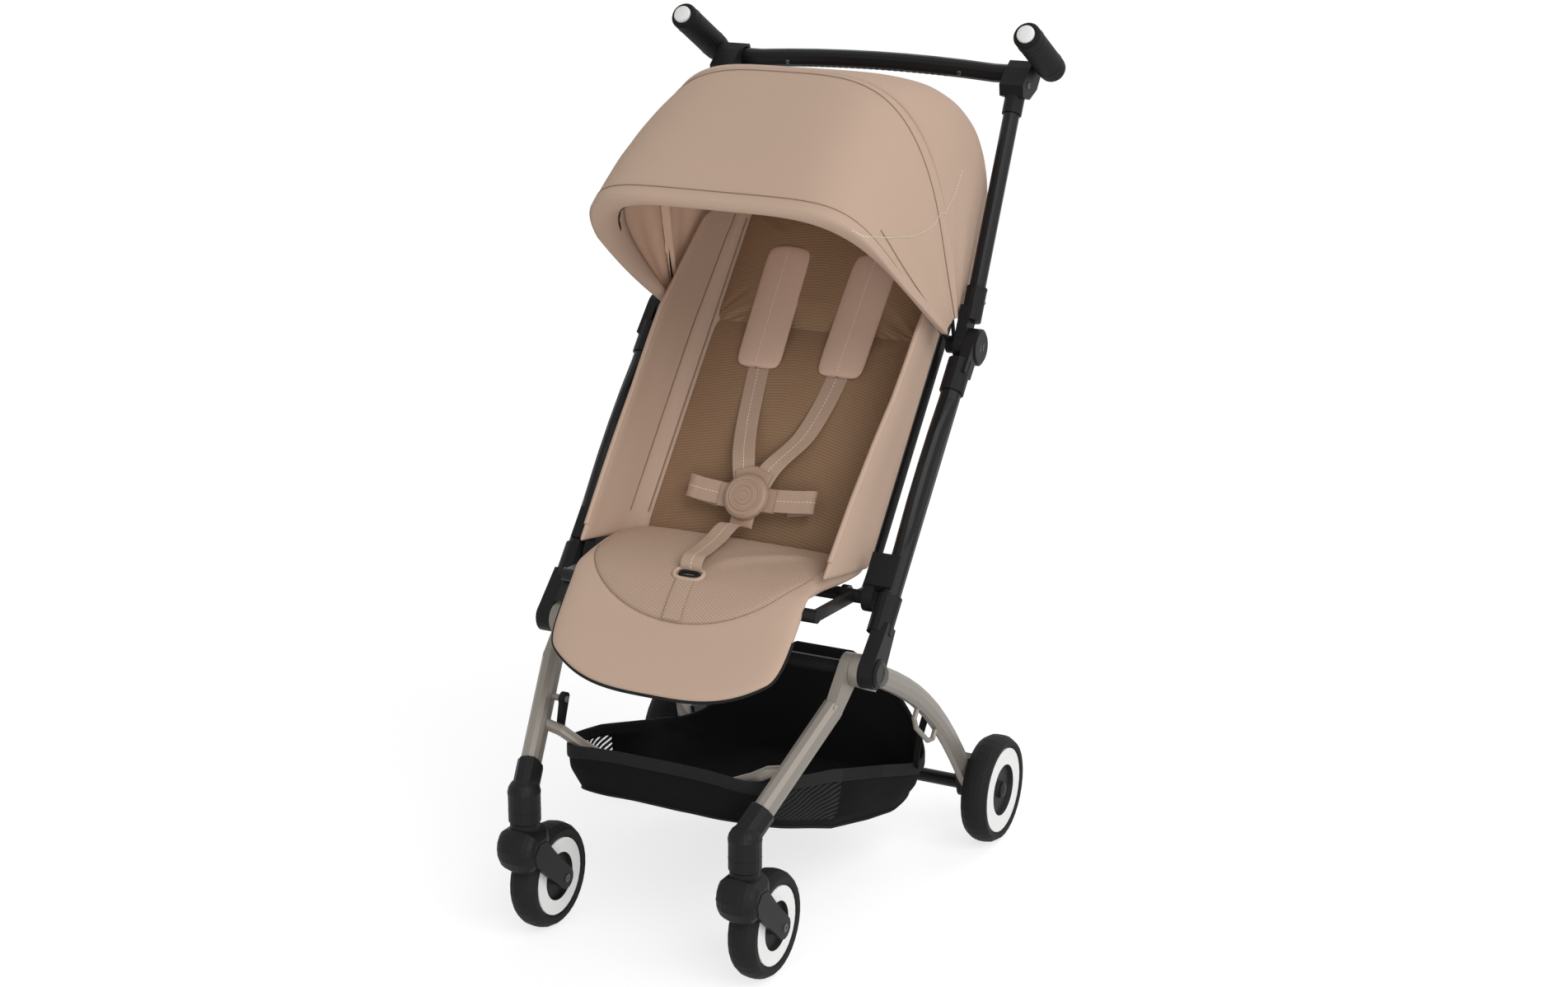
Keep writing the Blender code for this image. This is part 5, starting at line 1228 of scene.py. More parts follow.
    def pad(self, name: str, span: Pair, rise: float, height: float) -> None:
        """A crowned pad on the back's face, whose edges pull down to it.

        Its height falls off from the middle as the root of one less a high power of the place across and up.

        Args:
            name: the pad's name.
            span: how far up the back it starts and ends.
            rise: how far its underside lies from the back's face.
            height: how thick its middle is.
        """
        a, b = toward_ends(61)[None, :], toward_ends(81)[:, None]
        middle, reach = 0.5 * (span[0] + span[1]), 0.5 * (span[1] - span[0])
        power = 2 * self.pad_corner
        width = self.pad_half * np.power(1 - np.abs(b) ** power, 1 / power)
        crown = np.sqrt(np.clip(1 - np.abs(a) ** 6, 0, 1)) * np.sqrt(np.clip(1 - np.abs(b) ** 10, 0, 1))
        up = middle + reach * b + 0 * a
        x = width * a
        front = back_point(x, up, rise + height * crown)
        back = back_point(x, up, rise + 0 * crown)
        obj = shell_mesh(name, front, back)
        self.plump_pad(obj, rise)
        refine(obj)
        bake_modifiers(obj)
        # The pad wears the darker jacquard copy: painted shade under the canopy.
        dress(obj, finish().shaded_jacquard, "tan_fabric", "backrest")

    def plump_pad(self, obj: Piece, rise: float) -> None:
        """Swell a pad with its back and border held."""
        plump(obj, np.where(out_of_back(obj) < rise + 0.0012, 1.0, 0.0), 0.0040, 2.5)

    def build(self) -> None:
        """Make the shell and its two pads."""
        self.shell()
        self.pad("back_pad", (-0.0020, 0.3020), 0.0022, 0.0060)
        self.pad("head_pad", (0.2940, 0.4640), 0.0026, 0.0100)


@dataclass
class SeatCover:
    """The seat and leg rest: one padded cover that rolls over the seat's front bar."""

    half: float = 0.1500
    tongue_half: float = 0.1400
    tongue_sides: float = 0.085
    tongue_reach: float = 0.108
    slot: float = 0.1320
    loop_half: Pair = (0.0185, 0.0085)
    stations: int = 110
    across: int = 81

    def past_bar(self, *rows: Pair) -> list:
        """Side view points past the seat's front bar, by distance down the leg rest and out from it."""
        ahead, out = turn(LEG_ANGLE), turn(LEG_ANGLE - 90)
        return [tuple(np.asarray(SEAT_BAR) + ahead * run + out * height) for run, height in rows]

    def lines(self) -> tuple[np.ndarray, np.ndarray]:
        """The cover's top and bottom lines in side view, from the seat's rear to the leg rest's hem."""
        top = [(-0.0470, 0.4350), (-0.0900, 0.4390), (-0.1280, 0.4400), (-0.1580, 0.4360), (-0.1810, 0.4270)]
        top += self.past_bar((0.012, 0.0155), (0.040, 0.0135), (0.085, 0.0125), (0.1320, 0.0085))
        bottom = [(-0.047, 0.4105), (-0.090, 0.4115), (-0.128, 0.4135), (-0.156, 0.4150), (-0.172, 0.4170)]
        bottom += self.past_bar((0.012, -0.004), (0.040, -0.0040), (0.085, -0.0035), (0.1310, -0.0005))
        return smooth_curve(top, self.stations), smooth_curve(bottom, self.stations)

    def grids(self) -> tuple[np.ndarray, np.ndarray]:
        """The cover's two faces.

        Across, the thickness falls to nothing at the sides as the root of one less a high power. Past the bar
        the sides draw in and the hem rises toward the corners.
        """
        top, bottom = self.lines()
        a = toward_ends(self.across)
        q = np.linspace(0, 1, self.stations)
        late = np.clip((q - 0.60) / 0.40, 0, 1)
        lag = 0.135 * late[:, None] ** 2 * np.abs(a)[None] ** 3.2
        at = np.clip(q[:, None] - lag, 0, 1)
        sides = np.power(np.clip(1 - np.abs(a) ** 10, 0, 1), 0.42)
        ends = np.sqrt(np.clip(1 - (2 * np.clip(q, 0.0, 1.0) - 1) ** 24, 0, 1))[:, None]
        edge = sides[None] * ends
        middle = [np.interp(at, q, 0.5 * (top[:, i] + bottom[:, i])) for i in range(2)]
        reach = [np.interp(at, q, 0.5 * (top[:, i] - bottom[:, i])) for i in range(2)]
        width = self.half * (1 - 0.075 * late**3) * (1 + 0.060 / (1 + np.exp((q - 0.24) / 0.05)))
        x = width[:, None] * a[None]
        crown = 1 + 0.16 * (1 - a[None] ** 2) * np.clip(1.6 - 2.2 * q, 0.1, 1)[:, None]
        run = arc_lengths(top)[:, None] + 0 * x
        swell = edge * crown - self.tongue_groove(x, run) + self.puff(x, run)
        front = np.stack([x, middle[0] + reach[0] * swell, middle[1] + reach[1] * swell], axis=-1)
        back = np.stack([x, middle[0] - reach[0] * edge, middle[1] - reach[1] * edge], axis=-1)
        return front, back

    def tongue_edge(self, x: np.ndarray) -> np.ndarray:
        """How far along the cover the tongue reaches: a half ellipse, farthest in the middle."""
        return self.tongue_sides + self.tongue_reach * np.sqrt(np.clip(1 - (x / self.tongue_half) ** 2, 0, 1))

    def tongue_groove(self, x: np.ndarray, run: np.ndarray) -> np.ndarray:
        """The seam's groove as a share of the half thickness: a narrow bell on the tongue's edge."""
        miss = (run - self.tongue_edge(x)) / 0.0022
        inside = np.abs(x) < self.tongue_half
        return 0.10 * np.exp(-(miss**2)) * inside

    def puff(self, x: np.ndarray, run: np.ndarray) -> np.ndarray:
        """A soft ridge that runs from beside the slot back to the sitter's left, and a dip round the slot."""
        line = self.slot - 0.004 - 0.075 * np.clip(x / 0.11, 0, 1) ** 0.8
        window = 1 / (1 + np.exp(-(x - 0.022) / 0.006)) / (1 + np.exp((x - 0.112) / 0.008))
        ridge = 0.30 * np.exp(-(((run - line) / 0.011) ** 2)) * window
        return ridge - 0.22 * np.exp(-((x / 0.034) ** 2) - ((run - self.slot + 0.014) / 0.022) ** 2)

    def tongue(self, front: np.ndarray, top: np.ndarray) -> None:
        """The patterned tongue: a thin pad on the cover's front, inside the curved seam."""
        shares = np.linspace(0.012, 1.0, 70)[:, None]
        a = toward_ends(71)[None]
        x = self.tongue_half * a + 0 * shares
        reach = self.tongue_edge(0.995 * x)
        run = 0.006 + (reach - 0.006) * shares
        points, normals = self.on_cover(front, top, x, run)
        border = np.minimum(1, np.sqrt(np.clip(1 - a**8, 0, 1)) * np.sqrt(np.clip(1 - shares**14, 0, 1)))
        slot = np.exp(-((x / 0.017) ** 4) - ((run - self.slot) / 0.006) ** 4)
        high = points + normals * ((0.0030 * border + 0.0003) - 0.004 * slot)[..., None]
        deep = points - normals * 0.0012
        obj = shell_mesh("seat_tongue", high, deep)
        dress(obj, finish().jacquard, "tan_fabric")
        self.bend(obj)
        line, out = self.on_cover(front, top, x[-1], reach[-1] + 0.0008)
        stitches = stitch_mesh("tongue_stitches", line, out, 0.0036, 0.0024, 0.0006)
        self.bend(dress(stitches, finish().seam, "tan_fabric"))

    def on_cover(self, front: np.ndarray, top: np.ndarray, x, run) -> tuple[np.ndarray, np.ndarray]:
        """Points and normals on the cover's front by x and distance along its middle line."""
        rows = np.arange(len(top))
        row = np.interp(run, arc_lengths(top), rows)
        edge = np.interp(row, rows, front[:, -1, 0])
        column = (np.arcsin(np.clip(x / edge, -1, 1)) / np.pi + 0.5) * (self.across - 1)
        tangent_u, tangent_v = np.gradient(front, axis=1), np.gradient(front, axis=0)
        normal = np.cross(tangent_v, tangent_u)
        normal /= np.maximum(np.linalg.norm(normal, axis=-1, keepdims=True), 1e-12)
        if normal[20, self.across // 2, 2] < 0:
            normal = -normal
        return tuple(self.sample(field, row, column) for field in (front, normal))

    def sample(self, field: np.ndarray, row: np.ndarray, column: np.ndarray) -> np.ndarray:
        """Read a grid between its points, by bilinear blending."""
        i = np.clip(row.astype(int), 0, field.shape[0] - 2)
        j = np.clip(column.astype(int), 0, field.shape[1] - 2)
        u, v = (row - i)[..., None], (column - j)[..., None]
        low = field[i, j] * (1 - v) + field[i, j + 1] * v
        high = field[i + 1, j] * (1 - v) + field[i + 1, j + 1] * v
        return low * (1 - u) + high * u

    def bend(self, obj: Piece) -> None:
        """Bake a piece's placement into its mesh."""
        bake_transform(obj)

    def crotch_loop(self, front: np.ndarray, top: np.ndarray) -> None:
        """The raised loop round the strap's slot, a black ring of painted shade in the slot, and the strap
        that runs on under the cover.
        """
        t = round_places(48)
        x = self.loop_half[0] * signed_power(np.cos(t), 0.6)
        run = self.slot + self.loop_half[1] * signed_power(np.sin(t), 0.8)
        ring, out = self.on_cover(front, top, x, run)
        obj = tube_mesh("crotch_loop", ring + out * 0.0034, 0.0026, closed=True)
        self.bend(dress(obj, finish().cloth, "tan_fabric"))
        # Painted shade: a black ring inside the loop stands for the dark opening of the slot.
        ring, _ = self.on_cover(front, top, 0.62 * x, self.slot + 0.45 * (run - self.slot))
        slot_shade = tube_mesh("crotch_slot", ring + out * 0.0026, 0.0022, closed=True)
        self.bend(dress(slot_shade, finish().dark_band, "dark_fabric"))
        run = np.linspace(self.slot + 0.010, self.tongue_edge(np.zeros(1))[0] - 0.002, 24)
        line, out = self.on_cover(front, top, 0 * run, run)
        band = sweep_mesh("crotch_band", line + out * 0.0034, superellipse(0.0125, 0.0009, 16, 0.5))
        self.bend(dress(band, finish().jacquard, "tan_fabric"))
        for side in SIDES:
            edge, out = self.on_cover(front, top, 0 * run + side * 0.0118, run)
            row = stitch_mesh("band_stitches_" + WORDS[side], edge, out, 0.0036, 0.0024, 0.0044)
            self.bend(dress(row, finish().seam, "tan_fabric"))

    def hem(self, front: np.ndarray, back: np.ndarray) -> None:
        """Black piping round the leg rest's lower edge."""
        rim = 0.5 * (front + back)
        start = int(0.66 * self.stations)
        left, right = rim[start:, -1], rim[start:, 0]
        path = smooth_curve(np.concatenate([right, rim[-1, 1:-1], left[::-1]])[::3], 160)
        self.bend(dress(tube_mesh("leg_rest_piping", path, 0.0020), finish().dark_band, "dark_fabric"))

    def build(self) -> None:
        """Make the cover, its tongue, loop and piping."""
        front, back = self.grids()
        top, _ = self.lines()
        obj = shell_mesh("seat_cover", front, back)
        refine(obj)
        bake_modifiers(obj)
        dress(obj, finish().cloth, "tan_fabric")
        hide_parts("seat_cushion", "leg_rest")
        self.bend(obj)
        self.tongue(front, top)
        self.crotch_loop(front, top)
        self.hem(front, back)


@dataclass
class Harness:
    """The five-point harness: shoulder pads, straps with stitching, and trim on the buckle."""

    pad_span: Pair = (0.2320, 0.4000)
    pad_x: Pair = (0.0550, 0.0600)
    pad_half: float = 0.0300
    pad_lift: float = 0.0180
    strap_lift: float = 0.0095
    strap_half: float = 0.0140
    strap_thickness: float = 0.0008
    centre: Pair = (-0.0380, 0.4870)
    tilt: float = 148.0
    ring_outline: tuple = (
        (0.0178, 0.0), (0.0196, 0.0), (0.0196, 0.0009), (0.0190, 0.0013), (0.0184, 0.0013), (0.0178, 0.0009)
    )

    def middle(self) -> np.ndarray:
        """The middle of the plate behind the buckle, where the straps meet."""
        return join_x(0.0, along(self.centre, self.tilt, -0.0073))

    def strap(self, name: str, points: Sequence, across, count: int = 90, bodies: tuple = ()) -> np.ndarray:
        """A flat strap through the points, with a stitched line along its middle.

        Args:
            name: the strap's name.
            points: what its path passes through.
            across: the direction of its width.
            count: how many rows it has.
            bodies: two bodies and the two ends of a blend, which is not made: when given, the pieces are only
                baked in place; when empty, they ride on the push frame.

        Returns:
            The path.
        """
        path = smooth_curve(points, count)
        ring = superellipse(self.strap_half, self.strap_thickness, 20, 0.35)
        obj = dress(sweep_mesh(name, path, ring, across), finish().webbing, "tan_webbing")
        _, _, up = frames(path, across)
        rows = [obj]
        for face in SIDES:
            line = path + up * face * self.strap_thickness
            row = stitch_mesh(f"{name}_stitches_{WORDS[face]}", line, up * face, lift=0.0)
            rows.append(dress(row, finish().thread, "tan_webbing"))
        for piece in rows:
            if bodies:
                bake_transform(piece)
            else:
                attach(piece, "push_frame")
        return path

    def shoulder(self, side: int) -> None:
        """A shoulder strap from the buckle up under its pad, and on to the slot in the back."""
        low, high = self.pad_span
        middle = self.middle()
        down, aside = way(self.tilt + 90), np.array([side, 0.0, 0.0])
        points = [
            middle + 0.008 * aside - down * 0.012,
            middle + 0.015 * aside - down * 0.032,
            back_point(side * 0.0400, 0.150, 0.0200),
            back_point(side * 0.0470, 0.185, 0.0150),
            back_point(side * 0.0520, low - 0.012, self.strap_lift + 0.0030),
            back_point(side * self.pad_x[0], low + 0.020, self.strap_lift + 0.0020),
            back_point(side * self.pad_x[1], high - 0.004, self.strap_lift + 0.0030),
        ]
        start, end = Vector(back_point(0, 0.150, 0.02)), Vector(back_point(0, 0.215, 0.012))
        bodies = ("push_frame", "backrest", start, end)
        self.strap("shoulder_strap_" + WORDS[side], points, (1, 0, 0), 110, bodies)

    def waist(self, side: int) -> None:
        """A waist strap: out from the buckle, round its end and back behind itself in a loop."""
        middle = self.middle()
        down = way(self.tilt + 90)
        offsets = [
            (0.012, 0.000, 0.000), (0.040, 0.000, 0.002), (0.066, 0.001, 0.004), (0.078, 0.003, 0.005),
            (0.0840, 0.0075, 0.0040), (0.0800, 0.0125, 0.0010), (0.066, 0.0150, -0.003),
            (0.045, 0.0170, -0.008),
        ]
        points = [middle + np.array([side * x, y, z]) for x, y, z in offsets]
        self.strap("waist_strap_" + WORDS[side], points, -down, 80)

    def crotch(self) -> None:
        """The crotch strap, from the buckle down to its slot in the seat."""
        middle = self.middle()
        down = way(self.tilt + 90)
        points = [
            middle + down * 0.012, middle + down * 0.032, (0, -0.0800, 0.4640), (0, -0.1150, 0.4560),
            (0, -0.1500, 0.4510), (0, -0.1670, 0.4490), (0, -0.1740, 0.4420), (0, -0.1720, 0.4300),
        ]
        start, end = Vector((0, -0.070, 0.465)), Vector((0, -0.130, 0.453))
        self.strap("crotch_strap", points, (1, 0, 0), 90, ("push_frame", "seat", start, end))

    def tongues(self) -> None:
        """Moulded tongues that join the straps to the buckle, and a ring round its button."""
        middle, tilt = self.middle(), self.tilt
        out = way(tilt)
        down = way(tilt + 90)
        across = np.array([1.0, 0.0, 0.0])
        ways = {"crotch": down, "waist_left": across, "waist_right": -across}
        ways |= {"shoulder_left": -down + 0.30 * across, "shoulder_right": -down - 0.30 * across}
        for name, ahead in ways.items():
            ahead = ahead / np.linalg.norm(ahead)
            path = middle + ahead * np.linspace(0.016, 0.037, 9)[:, None] + out * 0.0020
            ring = superellipse(0.0150, 0.0026, 20, 0.45)
            obj = sweep_mesh("tongue_" + name, path, ring, np.cross(ahead, out))
            dress(obj, finish().tan_plastic, "tan_plastic", "push_frame")
        top = join_x(0.0, along(self.centre, tilt, 0.0055))
        ring = turned_mesh("buckle_ring", self.ring_outline, top, out, 40)
        dress(ring, finish().tan_plastic, "tan_plastic", "push_frame")
        button = join_x(0.0, along(self.centre, tilt, 0.0073))
        for radius in (0.0060, 0.0115):
            circle = round_places(40)
            path = button + radius * (np.cos(circle)[:, None] * across + np.sin(circle)[:, None] * down)
            name = f"button_ring_{round(radius * 1e4)}"
            obj = tube_mesh(name, path, 0.0006, closed=True)
            dress(obj, finish().tan_plastic, "tan_plastic", "buckle_release")

    def shoulder_pad(self, side: int) -> None:
        """A padded sleeve, swollen with cloth, with a seam round its edge and stitches along its middle."""
        low, high = self.pad_span
        a, b = toward_ends(33)[None, :], toward_ends(81)[:, None]
        share = 0.5 + 0.5 * b
        centre = side * (self.pad_x[0] + (self.pad_x[1] - self.pad_x[0]) * share)
        width = self.pad_half * np.power(np.clip(1 - np.abs(b) ** 14, 0, 1), 1 / 5)
        crown = np.sqrt(np.clip(1 - np.abs(a) ** 5, 0, 1)) * np.sqrt(np.clip(1 - np.abs(b) ** 12, 0, 1))
        wrap = 0.0030 * a**2
        x, up = centre + width * a, low + (high - low) * share + 0 * a
        front = back_point(x, up, self.pad_lift - wrap + 0.0040 * crown)
        back = back_point(x, up, self.pad_lift - wrap - 0.0035 * crown)
        obj = shell_mesh("shoulder_pad_cloth_" + WORDS[side], front, back)
        held = np.where(np.abs(out_of_back(obj) - self.pad_lift) < 0.0006, 1.0, 0.0)
        plump(obj, held, 0.0030, 2.0)
        refine(obj)
        bake_modifiers(obj)
        dress(obj, finish().pad_cloth, "tan_fabric", "backrest")
        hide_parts("shoulder_pad_" + WORDS[side])
        line_up = np.linspace(low + 0.004, high - 0.010, 80)
        line_x = side * np.interp(line_up, (low, high), self.pad_x)
        path = self.drop(obj, line_x, line_up)
        stitches = stitch_mesh("pad_stitches_" + WORDS[side], path, BACK_OUT, lift=0.0003)
        dress(stitches, finish().thread, "tan_fabric", "backrest")

    def drop(self, obj: Piece, x: np.ndarray, up: np.ndarray) -> np.ndarray:
        """Points on a piece's front where lines from above, square to the back, meet it."""
        height, usual = 0.080, 0.022
        spots = back_point(x, up, height)
        hits = [obj.ray_cast(Vector(spot), Vector(-BACK_OUT)) for spot in spots]
        found = np.array([hit[0] for hit in hits])[:, None]
        return np.where(found, np.array([hit[1] for hit in hits]), spots - (height - usual) * BACK_OUT)

    def slot_frames(self) -> None:
        """Stitched slots in the back below each shoulder pad."""
        for side in SIDES:
            for rank, up in enumerate((0.208, 0.292)):
                shape = superellipse(0.0165, 0.0045, 32, 0.4)
                out = 0.0100 if rank == 0 else 0.0105
                path = back_point(side * 0.066 + shape[:, 0], up + shape[:, 1], out)
                obj = tube_mesh(f"slot_frame_{rank + 1}_{WORDS[side]}", path, 0.0011, closed=True)
                dress(obj, finish().seam, "tan_fabric", "backrest")

    def build(self) -> None:
        """Make the whole harness."""
        for side in SIDES:
            self.shoulder(side)
            self.waist(side)
            self.shoulder_pad(side)
        self.crotch()
        self.tongues()
        self.slot_frames()
        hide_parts("harness_webbing")


@dataclass
class Basket:
    """The shopping basket: a lofted black cloth shell with a bound rim, net side panels and side straps."""

    front_y: float = -0.2700
    rear_y: float = 0.1800
    half: float = 0.1620
    floor: tuple = (
        (-0.270, 0.178), (-0.200, 0.150), (-0.100, 0.112), (-0.020, 0.088), (0.060, 0.074), (0.180, 0.070)
    )
    rim: tuple = (
        (-0.270, 0.219), (-0.200, 0.216), (-0.120, 0.197), (-0.060, 0.178), (0.030, 0.150), (0.100, 0.128),
        (0.180, 0.113),
    )
    taper: tuple = (
        (-0.270, 0.890), (-0.200, 0.920), (-0.100, 0.970), (0.000, 1.0), (0.060, 1.05), (0.180, 1.08)
    )
    net_x: float = 0.128
    net_y: Pair = (-0.240, -0.085)
    net_share: Pair = (0.12, 0.80)
    flat_length: float = 0.64
    floor_rows: int = 16
    wall_rows: int = 22
    strap_path: tuple = (
        (0.172, 0.086, 0.128), (0.176, 0.084, 0.160), (0.186, 0.078, 0.196), (0.196, 0.072, 0.222)
    )
    front_crown: float = 0.0180
    rear_crown: float = 0.1250
    cloth: float = 0.0016
    columns: int = 160

    def ring(self, spread: np.ndarray, share: np.ndarray) -> np.ndarray:
        """Rings of points: a rounded rectangle whose floor spreads from the middle, then climbs to the rim.

        The walls lean out as they climb, and sag outward between the floor and the rim by a sine.
        """
        y_mid, y_half = 0.5 * (self.front_y + self.rear_y), 0.5 * (self.rear_y - self.front_y)
        shape = superellipse(1.0, 1.0, self.columns, 0.38)
        a, b = shape[None, :, 0], shape[None, :, 1]
        spread, share = spread[:, None], share[:, None]
        belly = 0.0045 * np.sin(np.pi * share) * (spread >= 1)
        y = y_mid + (y_half * (0.95 + 0.05 * share) + belly) * b * spread
        x = (self.half * self.table(self.taper, y) * (0.90 + 0.10 * share) + belly) * a * spread
        sag = 0.0030 * soft_noise(x * 30, y * 26, x * 11) - 0.0025 * np.cos(np.pi * spread * 0.5)
        bottom = self.table(self.floor, y) + 0.002 + sag * np.where(spread < 1, 1.0, 0.5 * (1 - share))
        crown = self.front_crown * np.clip(-b, 0, 1) ** 6 * (1 - np.abs(a) ** 4)
        crown = crown + self.rear_crown * np.clip(b, 0, 1) ** 6 * (1 - np.abs(a) ** 1.7)
        top = self.table(self.rim, y) + crown
        folds = 0.0022 * soft_noise(y * 40, x * 40, share * 6) * np.sin(np.pi * np.clip(share, 0, 1))
        return np.stack([x + folds * a, y + folds * b, bottom + (top - bottom) * share], axis=-1)

    def table(self, rows: tuple, at: np.ndarray) -> np.ndarray:
        """Read a table of pairs at some places, with straight lines between its rows."""
        places, values = np.array(rows).T
        return np.interp(at, places, values)

    def netted(self, grid: np.ndarray, share: np.ndarray) -> np.ndarray:
        """True for each cell of the grid that lies in a side's net panel."""
        cells = 0.25 * (grid[:-1] + grid[1:] + np.roll(grid[:-1], -1, 1) + np.roll(grid[1:], -1, 1))
        x, y, share = np.abs(cells[..., 0]), cells[..., 1], share[:-1, None]
        inside = (y > self.net_y[0]) & (y < self.net_y[1])
        return (x > self.net_x) & inside & (share > self.net_share[0]) & (share < self.net_share[1])

    def build(self) -> None:
        """Make the shell in cloth and net, the binding of its rim and the straps to the rear legs."""
        spread = np.concatenate([np.linspace(0.04, 0.97, self.floor_rows), np.ones(self.wall_rows)])
        share = np.concatenate([np.zeros(self.floor_rows), np.linspace(0.0, 1.0, self.wall_rows)])
        grid = self.ring(spread, share)
        netted = self.netted(grid, share)
        shell = sheet_mesh("basket_shell", grid, self.cloth, wrap=True, keep=~netted.ravel())
        bake_modifiers(shell)
        dress(shell, finish().dark_cloth, "dark_fabric", "chassis")
        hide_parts("basket")
        area = grid_area(np.concatenate([grid, grid[:, :1]], axis=1))
        net = sheet_mesh("basket_net", grid, 0.0006, wrap=True, keep=netted.ravel())
        bake_modifiers(net)
        dress(net, finish().net, "dark_fabric", "chassis")
        self.binding(grid)
        self.straps()
        for obj in bpy.data.objects:
            if obj.name.startswith("basket_"):
                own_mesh(obj)

    def binding(self, grid: np.ndarray) -> None:
        """A band round the rim, and a seam round the walls below it."""
        rim = grid[-1]
        ring = superellipse(0.0075, 0.0014, 16, 0.4)
        out = rim - rim.mean(axis=0)
        out[:, 2] = 0
        path = rim - np.array([0, 0, 0.0068]) + 0.0004 * out / np.linalg.norm(out, axis=1, keepdims=True)
        corner = grid[self.floor_rows]
        band = sweep_mesh("basket_rim", path, ring, (0, 0, 1), True)
        for obj in (band, tube_mesh("basket_piping", corner, 0.0018, True)):
            dress(obj, finish().dark_band, "dark_fabric", "chassis")

    def straps(self) -> None:
        """A short strap on each side, from the rim up to the loop under the rear leg."""
        for side in SIDES:
            path = smooth_curve(np.array(self.strap_path) * np.array([side, 1.0, 1.0]), 24)
            ring = superellipse(0.0070, 0.0008, 16, 0.4)
            obj = sweep_mesh("basket_strap_" + WORDS[side], path, ring, (side * 0.8, -0.6, 0))
            dress(obj, finish().dark_band, "dark_fabric", "chassis")


SCREW_OUTLINE = ((1.0, 0.0), (1.0, 0.0006), (0.82, 0.0012), (0.42, 0.0012), (0.38, 0.0004))


@dataclass
class Trim:
    """Small fittings on the frame: screws, seam rings, caps and the crossbar's slots."""

    cap_face: float = 0.2225
    disc_outline: tuple = (
        (0.0135, -0.0004), (0.0135, 0.0003), (0.0128, 0.0007), (0.0100, 0.0007), (0.0096, 0.0003)
    )
    wheel_cap: tuple = (
        (0.0105, -0.001), (0.0105, 0.0012), (0.0092, 0.0026), (0.0040, 0.0030), (0.0036, 0.0024)
    )
    bar: Pair = (0.3125, 0.9584)
    bar_screw_x: float = 0.118
    grip_centre: tuple = (0.2315, 0.2840, 0.9880)
    grip_angle: float = 151.0
    caster: Pair = (0.1438, -0.31506)
    rear_wheel: tuple = (0.2295, 0.1992, 0.0687)

    def screw(
        self, name: str, centre: Sequence[float], axis: Sequence[float], radius: float, body: str
    ) -> None:
        """A low round screw head with a dished top."""
        outline = [(share * radius, height) for share, height in SCREW_OUTLINE]
        dress(turned_mesh(name, outline, centre, axis, 20), finish().screw, "black_plastic", body)

    def tube_ring(self, name: str, centre: np.ndarray, axis: Sequence[float], shape: Pair, body: str) -> None:
        """A thin band round a tube, by its radius and width."""
        radius, half = shape[0], 0.5 * shape[1]
        inner, level = radius - 0.0008, half - 0.0004
        outline = [(inner, -half), (radius, -level), (radius, level), (inner, half)]
        dress(turned_mesh(name, outline, centre, axis, 32), finish().satin, "black_plastic", body)

    def hinges(self) -> None:
        """Two slots on each upper hinge's cap, a seam round the collar and a screw in it."""
        up = way(UPPER_ANGLE)
        for side in SIDES:
            word = WORDS[side]
            face = side * (self.cap_face + 0.0023)
            for rank, shift in enumerate((-0.0042, 0.0042)):
                spot = along(HINGE_PIN, 0.0, shift)
                path = join_x(face, np.stack([along(spot, 75.0, d) for d in np.linspace(-0.0045, 0.0045, 7)]))
                ring = superellipse(0.0014, 0.0004, 12, 0.8)
                slot = sweep_mesh(f"hinge_slot_{rank + 1}_{word}", path, ring, (0, 1, 0))
                dress(slot, finish().screw, "black_plastic", "push_frame")
            x = side * (PUSH_X + (UPPER_TOP_X - PUSH_X) * 0.20)
            middle = join_x(x, along(HINGE_POINT, UPPER_ANGLE, 0.0665))
            self.tube_ring("collar_ring_" + word, middle, up, (0.0128, 0.0022), "handle")
            spot = join_x(side * 0.2197, along(HINGE_POINT, UPPER_ANGLE, 0.050))
            self.screw("collar_screw_" + word, spot, (side, 0, 0), 0.0024, "handle")

    def tubes(self) -> None:
        """A seam ring on each lower tube, and a ring with a bare disc on each lower hinge's cap."""
        ahead = way(PUSH_ANGLE)
        for side in SIDES:
            word = WORDS[side]
            middle = join_x(side * PUSH_X, along(HUB, PUSH_ANGLE, 0.0925))
            self.tube_ring("tube_ring_" + word, middle, ahead, (0.0150, 0.0024), "push_frame")
            cap = (side * (self.cap_face + 0.0025), *HUB)
            disc = turned_mesh("hub_disc_" + word, self.disc_outline, cap, (side, 0, 0), 36)
            dress(disc, finish().satin, "black_plastic", "chassis")

    def crossbar(self) -> None:
        """Two screws on the crossbar's front, a row of slots under it, and a screw in each bracket."""
        y, z = self.bar
        for side in SIDES:
            word = WORDS[side]
            place = (side * self.bar_screw_x, y - 0.0112, z - 0.0015)
            self.screw("bar_screw_" + word, place, (0, -1, -0.2), 0.0028, "handle")
            spot = along(HINGE_POINT, UPPER_ANGLE, UPPER_LENGTH - 0.012)
            place = (side * 0.2142, spot[0] + 0.002, spot[1] + 0.008)
            self.screw("bracket_screw_" + word, place, (side, 0, 0), 0.0042, "handle")
        for rank, x in enumerate(np.arange(-0.098, 0.099, 0.0085)):
            spot = np.array([x, y - 0.0062, z - 0.0098 + 0.0055 * (1 - (x / 0.16) ** 2)])
            path = np.stack([spot - (0.0022, 0, 0), spot + (0.0022, 0, 0)])
            bar = sweep_mesh(f"bar_slot_{rank + 1}", path, superellipse(0.0012, 0.0006, 8, 0.6), (0, 1, -0.6))
            dress(bar, finish().screw, "black_plastic", "handle")

    def grips(self) -> None:
        """Two seam rings on each grip."""
        x, *middle = self.grip_centre
        for side in SIDES:
            for rank, distance in enumerate((0.0400, -0.0300)):
                place = join_x(side * x, along(middle, self.grip_angle, distance))
                name = f"grip_ring_{rank + 1}_{WORDS[side]}"
                self.tube_ring(name, place, way(self.grip_angle), (0.0174, 0.0012), "handle")

